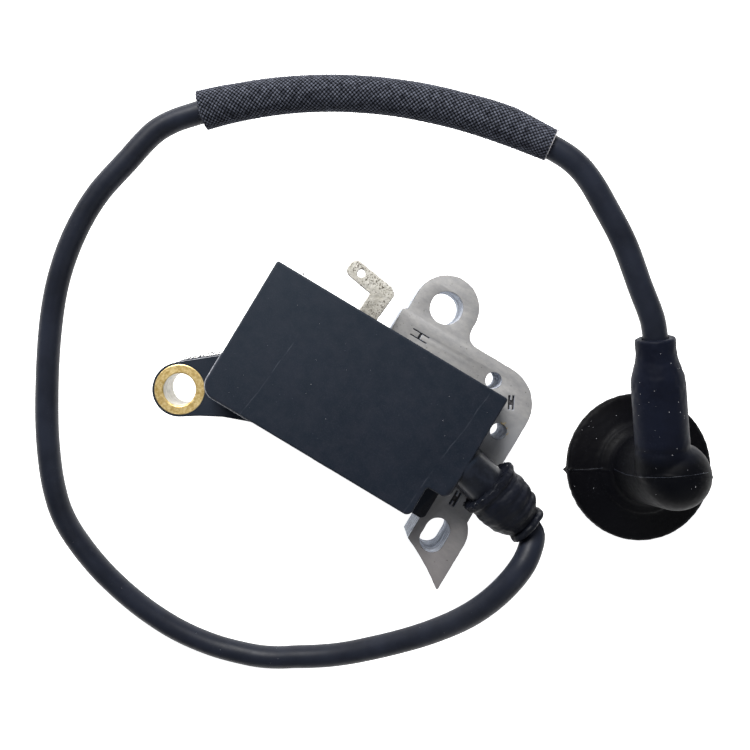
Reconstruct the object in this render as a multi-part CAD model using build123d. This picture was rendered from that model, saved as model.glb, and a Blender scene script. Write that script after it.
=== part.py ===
from build123d import *
import math
import os

os.makedirs("parts", exist_ok=True)

# Ignition module of a small two-stroke engine: a potted coil block on one leg of a U-shaped
# lamination stack, with its spark lead, woven lead sleeve and right-angle plug boot.
# Frame: origin on the axis of the round fixing hole, at the back face of the laminations.
# +X runs along the block towards the lead, +Y away from the flywheel, +Z out of the engine.

# ---------------------------------------------------------------- driving dimensions (mm)
# lamination stack
stack_t = 11.0
hole_r = 3.57                      # round fixing hole
lobe_r = 6.95                      # lobe around it
neck_r = 2.7                       # hollow corner between lobe and yoke
rivet_r = 1.78
rivet_holes = [(16.48, -8.04), (22.93, -16.80)]
slot_r, slot_len = 2.68, 7.76      # slotted fixing hole: half width, end to end
slot_x, slot_y = 22.70, -42.65
yoke_top, yoke_bottom = -4.0, -13.4
yoke_corner_r = 0.3                # corner between yoke and slotted leg
slot_leg_x0, slot_leg_x1, slot_tip_x = 18.10, 27.25, 29.15
coil_leg_x0, coil_leg_x1 = -7.85, 1.45
shoulder_r = 8.40                  # outer corner of the yoke
slot_pole_r, coil_pole_r = 48.0, 48.35  # circles that the two pole faces lie on
flywheel_x, flywheel_y = -0.36, -90.45
dimples = [(-1.80, -8.02, 0), (22.20, -10.30, -62), (22.60, -33.70, 90)]  # x, y, angle
dimple_depth = 0.35

# potted block
block_x0, block_x1 = -35.04, 19.34  # outer tier
block_y0, block_y1 = -40.91, -10.19
block_z0, block_z1 = -9.5, 20.5
lower_x1 = 17.90                   # lower tier stops short of the slotted leg
ledge_x1, ledge_z = 18.60, 12.60
notch_x, notch_y = 14.45, -33.90
wall = 2.0
clearance = 0.15                   # gap between the stack and the block
pocket_y = -13.55                  # lower side of the pocket for the yoke
top_fillet = 0.45

# eye of the fixing arm
eye_x, eye_y, eye_r = -39.80, -44.10, 5.80
bush_r, bush_bore_r = 5.43, 3.43

# lead outlet
outlet_start = Vector(block_x1, -26.29, 15.9)
outlet_angle = math.radians(-13.1)
outlet_axis = Vector(math.cos(outlet_angle), math.sin(outlet_angle), 0)
outlet_r, outlet_len = 4.55, 12.6
lead_seat = 0.6                    # along the outlet, where the lead bottoms

# spark lead
lead_r, conductor_r = 2.5, 0.95
ball_r, socket_r = 2.2, 2.25       # flex point: ball on one length, socket in the next
flex_gap = 1.1
sleeve_r, sleeve_bore_r = 3.80, 3.18
bend_centre = Vector(4.7380, -62.2071, 9.9389)  # the lead's bend under the sleeve
bend_normal = Vector(0.10028, 0.08182, -0.99159).normalized()
bend_r = 101.15

# plug boot
boot_foot = Vector(59.20, -7.00, -8.15)  # centre of the flange
boot_elbow = Vector(59.50, -5.55, 11.7)
boot_root = Vector(57.70, -6.63, 11.7)   # where the arm's axis passes the elbow
boot_mouth = Vector(39.45, 16.35, 16.6)  # open end of the arm
elbow_r = 7.45
flange_r = 17.1
plug_bore_r = 5.4
boot_up = (boot_elbow - boot_foot).normalized()
boot_h = (boot_elbow - boot_foot).length
arm_dir = (boot_mouth - boot_root).normalized()
arm_len = (boot_mouth - boot_root).length


# ---------------------------------------------------------------- helpers
def outline(points):
    """Closed flat face from (x, y, corner radius) points."""
    corners = []                   # start, middle and end of each corner
    for i, (x, y, radius) in enumerate(points):
        corner = Vector(x, y)
        if radius <= 0:
            corners.append((corner, None, corner))
            continue
        before, after = points[i - 1], points[(i + 1) % len(points)]
        back = Vector(before[0] - x, before[1] - y).normalized()
        ahead = Vector(after[0] - x, after[1] - y).normalized()
        half = math.acos(max(-1, min(1, back.dot(ahead)))) / 2
        trim = radius / math.tan(half)
        centre = corner + (back + ahead).normalized() * (radius / math.sin(half))
        middle = centre + (corner - centre).normalized() * radius
        corners.append((corner + back * trim, middle, corner + ahead * trim))
    edges = []
    for i, (start, middle, end) in enumerate(corners):
        if middle is not None:
            edges.append(ThreePointArc(start, middle, end))
        edges.append(Line(end, corners[(i + 1) % len(corners)][0]))
    return make_face(Curve() + edges)


def prism(points, z0, z1):
    return Pos(0, 0, z0) * extrude(outline(points), amount=z1 - z0, dir=(0, 0, 1))


def box(x0, x1, y0, y1, z0, z1, r=0.0):
    """Box between limits, with upright edges rounded by r."""
    return prism([(x0, y0, r), (x1, y0, r), (x1, y1, r), (x0, y1, r)], z0, z1)


def disc(x, y, z, radius, height):
    return Pos(x, y, z) * extrude(Circle(radius), amount=height)


def rod(start, end, radius):
    """Cylinder from start to end."""
    start, end = Vector(start), Vector(end)
    span = end - start
    return extrude(Plane(origin=start, z_dir=span.normalized()) * Circle(radius),
                   amount=span.length)


def turned(origin, axis, profile):
    """Solid of revolution from (distance along axis, radius) points."""
    x_dir = Plane(origin=origin, z_dir=axis).x_dir
    side = Plane(origin=origin, x_dir=x_dir, z_dir=x_dir.cross(axis))
    points = [(0, profile[0][0])] + [(r, s) for s, r in profile] + [(0, profile[-1][0])]
    return revolve(side * make_face(Polyline(*points, close=True)), Axis(origin, axis), 360)


def ball(centre, radius):
    return Pos(*centre) * Sphere(radius)


def cutter_beyond(point, direction, size=12):
    """Box on the side of the plane that direction points to."""
    return Plane(origin=point, z_dir=direction) * Box(
        size, size, size, align=(Align.CENTER, Align.CENTER, Align.MIN))


def on_outlet(distance):
    return outlet_start + outlet_axis * distance


def one(shape):
    """The single solid of a shape, or a compound of its solids."""
    solids = shape.solids()
    return solids[0] if len(solids) == 1 else Compound(solids)


parts = {}


def add(name, shape):
    parts[name] = one(shape)
    parts[name].label = name


# ---------------------------------------------------------------- lamination stack
def on_pole(x, radius=slot_pole_r):
    """Point of a pole face at x."""
    return (x, flywheel_y + math.sqrt(radius * radius - (x - flywheel_x) ** 2))


def make_core():
    diagonal = math.sqrt(0.5)
    neck_x = lobe_r + neck_r
    neck_cut = neck_r * (1 - diagonal)
    shoulder_x, shoulder_y = slot_leg_x1 - shoulder_r, yoke_top - shoulder_r
    inner_x, inner_y = slot_leg_x0 - yoke_corner_r, yoke_bottom - yoke_corner_r
    corner_cut = yoke_corner_r * (1 - diagonal)
    yoke_end_x = coil_leg_x1 + 0.01
    start = (-lobe_r, yoke_top - 0.35)
    # each step is the end of a line, or a middle point and the end of an arc
    steps = [
        [(-lobe_r, 0)],
        [(0, lobe_r), (lobe_r, 0)],
        [(lobe_r, yoke_top + neck_r)],
        [(lobe_r + neck_cut, yoke_top + neck_cut), (neck_x, yoke_top)],
        [(shoulder_x, yoke_top)],
        [(shoulder_x + shoulder_r * diagonal, shoulder_y + shoulder_r * diagonal),
         (slot_leg_x1, shoulder_y)],
        [(slot_leg_x1, -36.9)],
        [(28.55, -38.75), (slot_tip_x, -41.0)],
        [(slot_tip_x, -51.95)],
        [(28.97, -52.30), on_pole(28.62)],
        [on_pole(23.4), on_pole(slot_leg_x0)],
        [(slot_leg_x0, inner_y)],
        [(slot_leg_x0 - corner_cut, yoke_bottom - corner_cut), (inner_x, yoke_bottom)],
        [(yoke_end_x, yoke_bottom)],
        [on_pole(coil_leg_x1, coil_pole_r)],
        [on_pole(-3.2, coil_pole_r), on_pole(coil_leg_x0, coil_pole_r)],
        [(coil_leg_x0, yoke_top - 0.75)],
        [start],
    ]
    edges = []
    for step in steps:
        edges.append(Line(start, *step) if len(step) == 1 else ThreePointArc(start, *step))
        start = step[-1]
    core = extrude(make_face(Curve() + edges), amount=stack_t, dir=(0, 0, 1))
    core -= disc(0, 0, -1, hole_r, stack_t + 2)
    for x, y in rivet_holes:
        core -= disc(x, y, -1, rivet_r, stack_t + 2)
    core -= Pos(slot_x, slot_y, -1) * extrude(
        Rot(0, 0, 90) * SlotOverall(slot_len, 2 * slot_r), amount=stack_t + 2)
    # interlock dimples pressed into the outer sheet
    for x, y, angle in dimples:
        dimple = Rot(0, 0, angle) * box(-2.05, 2.05, -0.85, 0.85, 0, 1)
        core -= Pos(x, y, stack_t - dimple_depth) * dimple
    return core


# ---------------------------------------------------------------- potted block housing
tab_z0, tab_z1 = 15.1, 15.9        # stop-switch terminal and its slot
tab_slot_x0 = -16.10


def hollow_rooms(z0):
    """The three boxes of the block's hollow; z0 is the floor of the two lower ones."""
    step_x = notch_x - wall
    y0, y1 = block_y0 + wall, block_y1 - wall
    return [
        box(block_x0 + wall, step_x, y0, y1, z0, block_z1 - wall, 0.8),
        box(step_x - 1, lower_x1 - wall, y0, y1, z0, ledge_z - wall),
        box(step_x - 1, block_x1 - wall - 1, notch_y + wall, y1, stack_t - 1, block_z1 - wall),
    ]


def coil_leg_passage():
    return box(coil_leg_x0 - clearance, coil_leg_x1 + clearance, block_y0 - 1, block_y1 + 1,
               -clearance, stack_t + clearance)


def make_fixing_arm():
    arm = prism([
        (eye_x - 3.66, eye_y + 4.50, 0), (-35.6, -33.05, 0), (-30.0, -33.0, 0),
        (-21.5, -40.0, 0), (-20.6, -41.35, 0), (-24.2, -42.55, 0),
        (-28.9, -44.35, 0), (-33.2, -46.70, 0), (eye_x + 3.0, eye_y - 4.97, 0),
    ], 0.0, stack_t)
    return arm + disc(eye_x, eye_y, 0, eye_r, stack_t)


def make_housing():
    tier_z = stack_t + clearance
    lower = prism([
        (block_x0, block_y0, 3.0), (lower_x1, block_y0, 0.6),
        (lower_x1, block_y1, 0.3), (block_x0, block_y1, 0.5),
    ], block_z0, ledge_z)
    upper = prism([
        (block_x0, block_y0, 3.0), (notch_x, block_y0, 1.4), (notch_x, notch_y, 0.6),
        (block_x1, notch_y, 1.6), (block_x1, block_y1, 0.5), (block_x0, block_y1, 0.5),
    ], tier_z, block_z1)
    ledge = prism([
        (notch_x - 1, block_y0, 0), (ledge_x1, block_y0, 1.2),
        (ledge_x1, notch_y + 1, 0), (notch_x - 1, notch_y + 1, 0),
    ], tier_z, ledge_z)
    housing = lower + upper + ledge
    top_edges = housing.edges().filter_by(
        lambda e: abs(e.center().Z - block_z1) < 1e-4 and abs(e.bounding_box().size.Z) < 1e-4)
    housing = fillet(top_edges, top_fillet)
    housing += make_fixing_arm()
    housing += rod(on_outlet(-2.6), on_outlet(outlet_len), outlet_r)
    # hollow inside, open at the back
    for room in hollow_rooms(block_z0 - 1):
        housing -= room
    # pocket for the stack's yoke, walled off from the hollow
    pocket_x = coil_leg_x0 - clearance
    housing += box(pocket_x - wall, lower_x1, pocket_y - wall, block_y1 - 0.2,
                   -clearance - wall, tier_z + wall)
    housing -= box(pocket_x, block_x1 + 1, pocket_y, block_y1 + 1, -clearance, tier_z)
    housing -= coil_leg_passage()
    # eye, lead outlet bore, pin hole, terminal slot
    housing -= disc(eye_x, eye_y, -1, bush_r, stack_t + 2)
    housing -= rod(on_outlet(lead_seat), on_outlet(outlet_len + 1), lead_r)
    housing -= rod(on_outlet(-4.0), on_outlet(lead_seat), 1.3)
    housing -= box(tab_slot_x0, -11.55, block_y1 - wall - 1, block_y1 + 1, tab_z0, tab_z1)
    # way for the earth strap through the pocket's wall
    return one(housing) - make_ground_strap()


def make_bushing():
    tube = extrude(Circle(bush_r), amount=stack_t) - extrude(Circle(bush_bore_r), amount=stack_t)
    return Pos(eye_x, eye_y, 0) * tube


# ---------------------------------------------------------------- coils on the leg in the block
coil_y0, coil_y1 = block_y0 + wall, pocket_y - wall
split_y = -28.4                    # charge coil towards the flywheel, transformer above it
trigger_y = -31.0                  # lower end of the trigger winding
bobbin_flange_t = 0.8
end_flange_t = 0.9                 # charge bobbin's flange at the flywheel end
sections = 4                       # of the secondary winding
section_pitch = (coil_y1 - split_y - bobbin_flange_t) / sections
section_ys = [split_y + i * section_pitch for i in range(sections + 1)]
# surfaces around the leg: growth beyond the leg, corner radius
bore = (0, 0)
bobbin_tube = (0.9, 1.0)
secondary_bore, secondary_tube = (3.0, 2.6), (3.8, 3.2)


def ring(y0, y1, inner, outer):
    """Rounded rectangular tube around the coil leg, between two surfaces."""
    plane = Plane(origin=((coil_leg_x0 + coil_leg_x1) / 2, y1, stack_t / 2),
                  x_dir=(1, 0, 0), z_dir=(0, -1, 0))

    def filled(growth, radius):
        width = coil_leg_x1 - coil_leg_x0 + 0.2 + 2 * growth
        height = stack_t + 0.2 + 2 * growth
        if radius > 0:
            face = RectangleRounded(width, height, radius)
        else:
            face = Rectangle(width, height)
        return extrude(plane * face, amount=y1 - y0)

    return filled(*outer) - filled(*inner)


def bobbin(y0, y1, inner, tube, rim, flanges):
    """Tube with flanges; flanges are (y0, y1) spans."""
    former = ring(y0, y1, inner, tube)
    for start, end in flanges:
        former += ring(start, end, tube, rim)
    return former


def add_coils():
    charge_y0 = coil_y0 + end_flange_t
    charge_y1 = trigger_y - bobbin_flange_t
    trigger_y1 = split_y - bobbin_flange_t
    add("charge_bobbin", bobbin(
        coil_y0, split_y, bore, bobbin_tube, (4.6, 3.0),
        [(coil_y0, charge_y0), (charge_y1, trigger_y), (trigger_y1, split_y)]))
    add("charge_winding", ring(charge_y0, charge_y1, bobbin_tube, (4.2, 3.0)))
    add("trigger_winding", ring(trigger_y, trigger_y1, bobbin_tube, (3.4, 2.5)))

    primary_y0, primary_y1 = split_y + bobbin_flange_t, coil_y1 - bobbin_flange_t
    add("primary_bobbin", bobbin(
        split_y, coil_y1, bore, bobbin_tube, (2.9, 2.5),
        [(split_y, primary_y0), (primary_y1, coil_y1)]))
    add("primary_winding", ring(primary_y0, primary_y1, bobbin_tube, (2.6, 2.4)))

    # secondary: sectioned bobbin, slipped over the primary
    add("secondary_bobbin", bobbin(
        split_y, coil_y1, secondary_bore, secondary_tube, (6.9, 5.0),
        [(y, y + bobbin_flange_t) for y in section_ys]))
    windings = []
    for y in section_ys[:-1]:
        start = y + bobbin_flange_t
        end = start + section_pitch - bobbin_flange_t
        windings += ring(start, end, secondary_tube, (6.4, 4.8)).solids()
    add("secondary_winding", Compound(windings))


# ---------------------------------------------------------------- control circuit, -X end of block
board_z = 6.0                      # underside, where the components hang
board_top = board_z + 1.5


def make_capacitor():
    body = box(-31.2, -18.8, -37.0, -30.6, board_z - 11.5, board_z - 0.4, 0.8)
    for x in (-29.5, -20.5):
        body += rod((x, -33.8, board_z - 0.6), (x, -33.8, board_z), 0.35)
    return body


def make_thyristor():
    body = box(-24.0, -18.8, -24.5, -20.5, board_z - 6.5, board_z - 1.2)
    for y in (-23.8, -22.5, -21.2):
        body += rod((-21.4, y, board_z - 1.4), (-21.4, y, board_z), 0.28)
    return body


def make_diodes():
    z = board_z - 1.6
    solids = []
    for x in (-30.6, -27.4):
        diode = rod((x, -23.6, z), (x, -18.6, z), 1.3)
        diode += rod((x, -25.0, z), (x, -17.2, z), 0.35)
        leads = box(x - 0.3, x + 0.3, -25.2, -24.6, board_z - 1.9, board_z)
        leads += box(x - 0.3, x + 0.3, -17.6, -17.0, board_z - 1.9, board_z)
        diode += leads
        solids += diode.solids()
    return Compound(solids)


def make_resistors():
    y, z = -28.9, board_z - 1.3
    solids = []
    for x in (-30.4, -26.6, -22.8):
        resistor = rod((x, y, z), (x + 3.0, y, z), 0.9)
        resistor += rod((x - 0.5, y, z), (x + 3.3, y, z), 0.25)
        resistor += box(x - 0.6, x - 0.1, -29.1, -28.7, board_z - 1.5, board_z)
        solids += resistor.solids()
    return Compound(solids)


def make_kill_terminal():
    """Stop-switch tab that leaves the block's +Y side and turns towards -X."""
    foot_y = block_y1 - wall - 2.4
    tab = prism([
        (-16.05, foot_y, 0), (-15.55, -6.05, 0.2), (-21.45, -5.10, 0.9),
        (-22.35, -4.30, 0.4), (-22.20, -2.55, 0.6), (-21.45, -1.30, 0.7),
        (-12.30, -2.55, 1.0), (-10.95, -3.75, 0.8), (-11.62, -11.0, 0),
        (-11.62, foot_y, 0),
    ], tab_z0, tab_z1)
    tab -= disc(-19.25, -3.40, 15, 0.85, 2)
    # trim the foot to the slot's side
    tab -= box(-17.0, tab_slot_x0, block_y1 - wall - 3, block_y1 + 0.4, 14, 17)
    return tab


def make_kill_wire():
    """Wire from the terminal down to the board."""
    tab_x, board_x, y, radius = -15.0, -19.2, -13.6, 0.5
    wire = rod((tab_x, y, tab_z0), (tab_x, y, 12.2), radius)
    wire += rod((tab_x, y, 12.6), (board_x, y, 12.6), radius)
    wire += rod((board_x, y, 13.1), (board_x, y, board_top), radius)
    return wire


def make_ground_strap():
    """Earth strap from the board to the coil leg."""
    x0, y0, y1, top, thickness = -20.0, -15.2, -14.2, 9.4, 0.4
    strap = box(x0, coil_leg_x0, y0, y1, top - thickness, top)
    return strap + box(x0, x0 + thickness, y0, y1, board_top, top)


def make_ht_spike():
    """High-voltage pin that pushes into the lead's conductor."""
    return turned(on_outlet(-5.2), outlet_axis, [
        (0, 0.8), (3.4, 0.8), (3.4, 1.25), (5.8, 1.25), (5.8, 0.7), (11.0, 0.6), (13.2, 0.12)])


def make_hv_wire():
    """Wire from the pin to the transformer."""
    foot, turn_y, radius = on_outlet(-4.6), -19.0, 0.4
    x, y, z = foot.X, foot.Y, outlet_start.Z
    wire = rod((x, y + 0.85, z), (x, turn_y, z), radius)
    return wire + rod((x + radius, turn_y, z), (9.2, turn_y, z), radius)


# ---------------------------------------------------------------- spark lead
def on_bend(point):
    """Nearest point of the bend circle, its tangent and its outward direction."""
    offset = Vector(point) - bend_centre
    outward = (offset - bend_normal * offset.dot(bend_normal)).normalized()
    return bend_centre + outward * bend_r, outward.cross(bend_normal), outward


def bend_arc(near_start, near_end):
    """Arc of the bend circle, its end points and the tangents there."""
    start, start_dir, start_out = on_bend(near_start)
    end, end_dir, end_out = on_bend(near_end)
    if (end - start).dot(start_dir) < 0:
        start_dir, end_dir = start_dir * -1, end_dir * -1
    middle = bend_centre + (start_out + end_out).normalized() * bend_r
    return ThreePointArc(start, middle, end), start, start_dir, end, end_dir


def sweep_circle(edges, radius):
    path = Wire([e for curve in edges for e in curve.edges()])
    return sweep(Plane(origin=edges[0] @ 0, z_dir=edges[0] % 0) * Circle(radius), path=path)


def lead_runs():
    """Lengths of lead as (name, edges, flex point at start, flex point at end)."""
    # flex points: place, direction of the lead
    flex_a = (Vector(39.62, -40.10, 17.95), Vector(-0.060, -0.985, -0.165).normalized())
    flex_b = (Vector(-53.27, -80.14, -0.06), Vector(-0.66, 0.74, 0.17).normalized())
    flex_c = (Vector(17.40, 33.30, 17.98), Vector(0.876, -0.482, -0.025).normalized())
    (a, a_dir), (b, b_dir), (c, c_dir) = flex_a, flex_b, flex_c

    relief_exit = on_outlet(18.6)
    root = [
        Line(on_outlet(lead_seat), relief_exit),
        Spline(relief_exit, (39.55, -33.25, 16.6), a, tangents=(outlet_axis, a_dir)),
    ]
    low = Vector(1.42, -92.02, -6.32)
    low_dir = Vector(-0.927, -0.359, -0.108).normalized()
    lower = [
        Spline(
            a, (39.10, -45.0, 16.55), (37.84, -51.5, 13.29), (34.77, -59.67, 8.22),
            (30.24, -67.29, 3.91), (24.49, -74.69, 0.30), (17.80, -81.54, -2.61),
            (10.14, -87.47, -4.83), low,
            tangents=(a_dir, low_dir)),
        Spline(
            low, (-8.29, -94.63, -6.99), (-18.29, -95.19, -6.99), (-28.13, -93.92, -6.41),
            (-37.47, -91.06, -4.80), (-46.02, -86.55, -2.29), b,
            tangents=(low_dir, b_dir)),
    ]
    arc, start, start_dir, end, end_dir = bend_arc((-70.6, 4.2, 8.1), (2.6, 38.6, 18.0))
    upper = [
        Spline(
            b, (-59.29, -72.17, 1.35), (-64.49, -63.76, 2.08), (-69.23, -54.95, 2.67),
            (-73.36, -45.83, 3.64), (-76.38, -36.31, 4.74), (-77.81, -26.58, 5.67),
            (-77.50, -16.60, 6.47), (-75.35, -6.9, 7.2), start,
            tangents=(b_dir, start_dir)),
        arc,
        Spline(end, c, tangents=(end_dir, c_dir)),
    ]
    boot_entry = boot_mouth + arm_dir * 1.2
    last = [
        Spline(c, (24.20, 29.15, 17.7), (32.20, 22.85, 17.3), boot_entry,
               tangents=(c_dir, arm_dir * -1)),
        Line(boot_entry, boot_root + arm_dir * 5.0),
    ]
    return [
        ("root", root, None, flex_a),
        ("lower", lower, flex_a, flex_b),
        ("upper", upper, flex_b, flex_c),
        ("end", last, flex_c, None),
    ]


def make_lead(edges, head, tail):
    """Jacket and conductor of one length: socket at its head, ball at its tail."""
    jacket, conductor = sweep_circle(edges, lead_r), sweep_circle(edges, conductor_r)
    if tail:
        centre, direction = tail
        jacket -= cutter_beyond(centre - direction * flex_gap, direction)
        jacket += ball(centre, ball_r)
        conductor -= cutter_beyond(centre - direction * (ball_r + 0.1), direction)
    if head:
        jacket -= ball(head[0], socket_r)
        conductor -= ball(head[0], socket_r + 0.6)
    jacket -= conductor
    return jacket, conductor


def add_leads():
    spike = make_ht_spike()
    for name, edges, head, tail in lead_runs():
        jacket, conductor = make_lead(edges, head, tail)
        if name == "root":
            conductor -= spike
            jacket -= spike
        add("lead_jacket_" + name, jacket)
        add("lead_core_" + name, conductor)


def make_strain_relief():
    """Rubber relief over the outlet: rim, barrel body, ring at its end."""
    relief = turned(on_outlet(6.0), outlet_axis, [
        (0, 6.2), (0.3, 6.4), (1.5, 6.4), (2.1, 5.95), (4.5, 6.02), (7.0, 5.8), (9.6, 5.0),
        (10.9, 3.8), (11.2, 3.55), (11.4, 4.1), (11.8, 4.3), (12.3, 4.3), (12.55, 4.05)])
    relief -= rod(on_outlet(5), on_outlet(outlet_len + 0.05), outlet_r + 0.05)
    relief -= rod(on_outlet(outlet_len), on_outlet(22), lead_r + 0.02)
    # room for the stack's slotted leg
    relief -= box(slot_leg_x0 - 3, slot_leg_x1 + 0.3, -45, -10, 0, stack_t + 0.05)
    return relief


def make_sleeve():
    """Woven sleeve, loose on the lead, along the bend circle."""
    arc, start, start_dir, _, _ = bend_arc((-66.44, 9.65, 8.67), (0.465, 38.545, 17.82))
    plane = Plane(origin=start, z_dir=start_dir)
    return sweep(plane * Circle(sleeve_r), path=arc) - sweep(plane * Circle(sleeve_bore_r),
                                                             path=arc)


# ---------------------------------------------------------------- plug boot
def make_boot():
    boot = turned(boot_foot, boot_up, [
        (0, 16.6), (0.4, flange_r), (1.7, flange_r), (2.2, 16.7), (2.9, 14.0), (3.7, 11.0),
        (4.2, 10.2), (4.7, 9.6), (5.2, 8.6), (6.2, 8.0), (10, 7.75), (boot_h, elbow_r)])
    boot += ball(boot_elbow, elbow_r)
    boot += turned(boot_root, arm_dir, [
        (0, 5.8), (6.0, 5.7), (8.5, 5.5), (arm_len - 10.0, 5.45), (arm_len - 8.1, 5.25),
        (arm_len - 5.9, 4.6), (arm_len - 4.3, 4.15), (arm_len - 3.2, 4.05),
        (arm_len - 0.2, 4.05), (arm_len, 3.9)])
    boot -= turned(boot_foot, boot_up, [
        (-1, 14.2), (1.0, 14.2), (1.6, 12.5), (1.6, plug_bore_r), (15.6, plug_bore_r),
        (16.2, 4.3), (boot_h + 2.2, 4.3), (boot_h + 3.6, 2.6)])
    boot -= rod(boot_root + arm_dir * 3.5, boot_mouth + arm_dir * 1, lead_r + 0.05)
    return boot


def make_contact_spring():
    """Wire spring that grips the plug's terminal, with a leg into the lead."""
    turns, pitch, wire_r, coil_r = 3.5, 1.5, 0.5, 3.3
    helix = Helix(pitch=pitch, height=pitch * turns, radius=coil_r)
    section = Plane(origin=helix @ 0, z_dir=helix % 0) * Circle(wire_r)
    spring = sweep(section, path=helix, is_frenet=True)
    arm_side = (arm_dir - boot_up * arm_dir.dot(boot_up)).normalized()
    seat = Plane(origin=boot_foot + boot_up * (boot_h - 3.6), x_dir=arm_side * -1, z_dir=boot_up)
    spring = seat.location * spring
    coil_end = seat.from_local_coords(helix @ 1)
    leg_end = boot_root + arm_dir * 4.45
    spring += ball(coil_end, wire_r) + rod(coil_end, leg_end, wire_r)
    return spring


# ---------------------------------------------------------------- potting resin
potted_parts = [
    "charge_bobbin", "charge_winding", "trigger_winding", "primary_bobbin",
    "primary_winding", "secondary_bobbin", "secondary_winding", "circuit_board",
    "storage_capacitor", "thyristor", "diodes", "resistors", "kill_terminal",
    "kill_link_wire", "ground_strap", "ht_spike", "hv_link_wire",
]


def make_resin():
    """Fills what is left of the hollow; only the largest body is kept."""
    first, second, third = hollow_rooms(block_z0 + 0.8)
    resin = first + second
    resin += third
    resin -= coil_leg_passage()
    resin -= parts["housing"]
    for name in potted_parts:
        resin -= parts[name]
    return max(resin.solids(), key=lambda solid: solid.volume)


# ---------------------------------------------------------------- build and export
add("core_laminations", make_core())
add("housing", make_housing())
add("mount_bushing", make_bushing())
add_coils()
add("circuit_board", box(-32.4, -17.6, -38.2, -13.0, board_z, board_top))
add("storage_capacitor", make_capacitor())
add("thyristor", make_thyristor())
add("diodes", make_diodes())
add("resistors", make_resistors())
add("kill_terminal", make_kill_terminal())
add("kill_link_wire", make_kill_wire())
add("ground_strap", make_ground_strap())
add("ht_spike", make_ht_spike())
add("hv_link_wire", make_hv_wire())
add_leads()
add("strain_relief", make_strain_relief())
add("braided_sleeve", make_sleeve())
add("plug_boot", make_boot())
add("plug_contact_spring", make_contact_spring())
add("potting_resin", make_resin())

for name, shape in parts.items():
    export_step(shape, f"parts/{name}.step")
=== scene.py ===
"""An ignition module with its coiled-round lead, woven sleeve and plug boot.

The big hole of the lamination stack is at the origin, and the stack stands on z = 0 with its
sheets in the XY plane. The moulded block lies on the -y side of that hole. The lead leaves it
towards +x, loops round by -y, -x and +y, and ends in the boot on the +x side.
Geometry is in mm until a mesh is made; materials, lights and the camera are in metres.
"""
import math
import random

import bmesh
import bpy
import numpy as np
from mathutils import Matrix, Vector, noise


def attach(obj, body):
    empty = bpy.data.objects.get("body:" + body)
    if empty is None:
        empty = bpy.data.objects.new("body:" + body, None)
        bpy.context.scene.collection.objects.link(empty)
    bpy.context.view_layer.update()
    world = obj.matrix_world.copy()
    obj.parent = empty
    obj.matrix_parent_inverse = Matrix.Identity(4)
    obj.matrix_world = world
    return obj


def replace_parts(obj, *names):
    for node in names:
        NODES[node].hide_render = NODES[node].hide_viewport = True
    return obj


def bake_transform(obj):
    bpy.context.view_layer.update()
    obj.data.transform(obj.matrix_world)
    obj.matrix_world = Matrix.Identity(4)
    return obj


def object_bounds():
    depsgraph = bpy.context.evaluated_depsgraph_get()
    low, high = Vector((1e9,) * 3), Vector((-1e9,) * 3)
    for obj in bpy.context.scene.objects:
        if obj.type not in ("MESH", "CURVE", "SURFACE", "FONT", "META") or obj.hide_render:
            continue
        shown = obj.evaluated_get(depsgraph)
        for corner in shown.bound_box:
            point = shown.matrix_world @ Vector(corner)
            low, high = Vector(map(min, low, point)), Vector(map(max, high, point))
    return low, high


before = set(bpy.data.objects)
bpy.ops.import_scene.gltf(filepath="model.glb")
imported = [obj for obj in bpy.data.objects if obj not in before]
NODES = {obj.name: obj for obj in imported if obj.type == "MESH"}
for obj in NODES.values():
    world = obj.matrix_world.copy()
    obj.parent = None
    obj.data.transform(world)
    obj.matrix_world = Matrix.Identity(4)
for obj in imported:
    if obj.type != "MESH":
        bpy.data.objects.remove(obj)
cad_low, cad_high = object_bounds()

MM = 0.001
rng = random.Random(7)      # shared by all pieces, so the build order matters


def unit(vector):
    return vector / np.linalg.norm(vector)


# ---------------------------------------------------------------- driving dimensions, mm
STACK = 11.0                # height of the lamination stack
SHEETS = 22
SHEET_PITCH = STACK / SHEETS
HOLE_R, LOBE_R = 3.57, 6.95
RIVET_R = 1.78
RIVET_A, RIVET_B = (16.48, -8.04), (22.93, -16.80)
SLOT_AT, SLOT_R, SLOT_LENGTH = (22.70, -42.65), 2.68, 7.76
YOKE_TOP, YOKE_BOTTOM = -4.0, -13.4         # y of the bar between the two legs
POLE_CENTRE, POLE_R = (-0.36, -90.45), 48.0     # circle on which the legs end
BUSHING_AT, BUSHING_R, BORE_R = (-39.80, -44.10), 5.43, 3.43
STUB_AT = np.array((19.34, -26.29, 15.9))   # where the lead leaves the block
STUB_DIR = np.array((math.cos(math.radians(-13.1)), math.sin(math.radians(-13.1)), 0.0))
BOOT_FOOT = np.array((59.20, -7.00, -8.15))
BOOT_BALL = np.array((59.50, -5.55, 11.7))  # centre of the elbow
BOOT_ROOT = np.array((57.70, -6.63, 11.7))  # start of the arm's axis
BOOT_END = np.array((39.45, 16.35, 16.6))
BOOT_UP = unit(BOOT_BALL - BOOT_FOOT)
BOOT_ARM = unit(BOOT_END - BOOT_ROOT)
CAMERA_AT = np.array((-16.16, -17.13, 190.5))


# ---------------------------------------------------------------- material kit
MATERIALS = {}


def srgb(*rgb):
    """Linear RGBA from an 8-bit sRGB colour."""
    linear = [c / 12.92 if c <= 0.04045 else ((c + 0.055) / 1.055) ** 2.4
              for c in (value / 255 for value in rgb)]
    return (*linear, 1.0)


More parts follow.
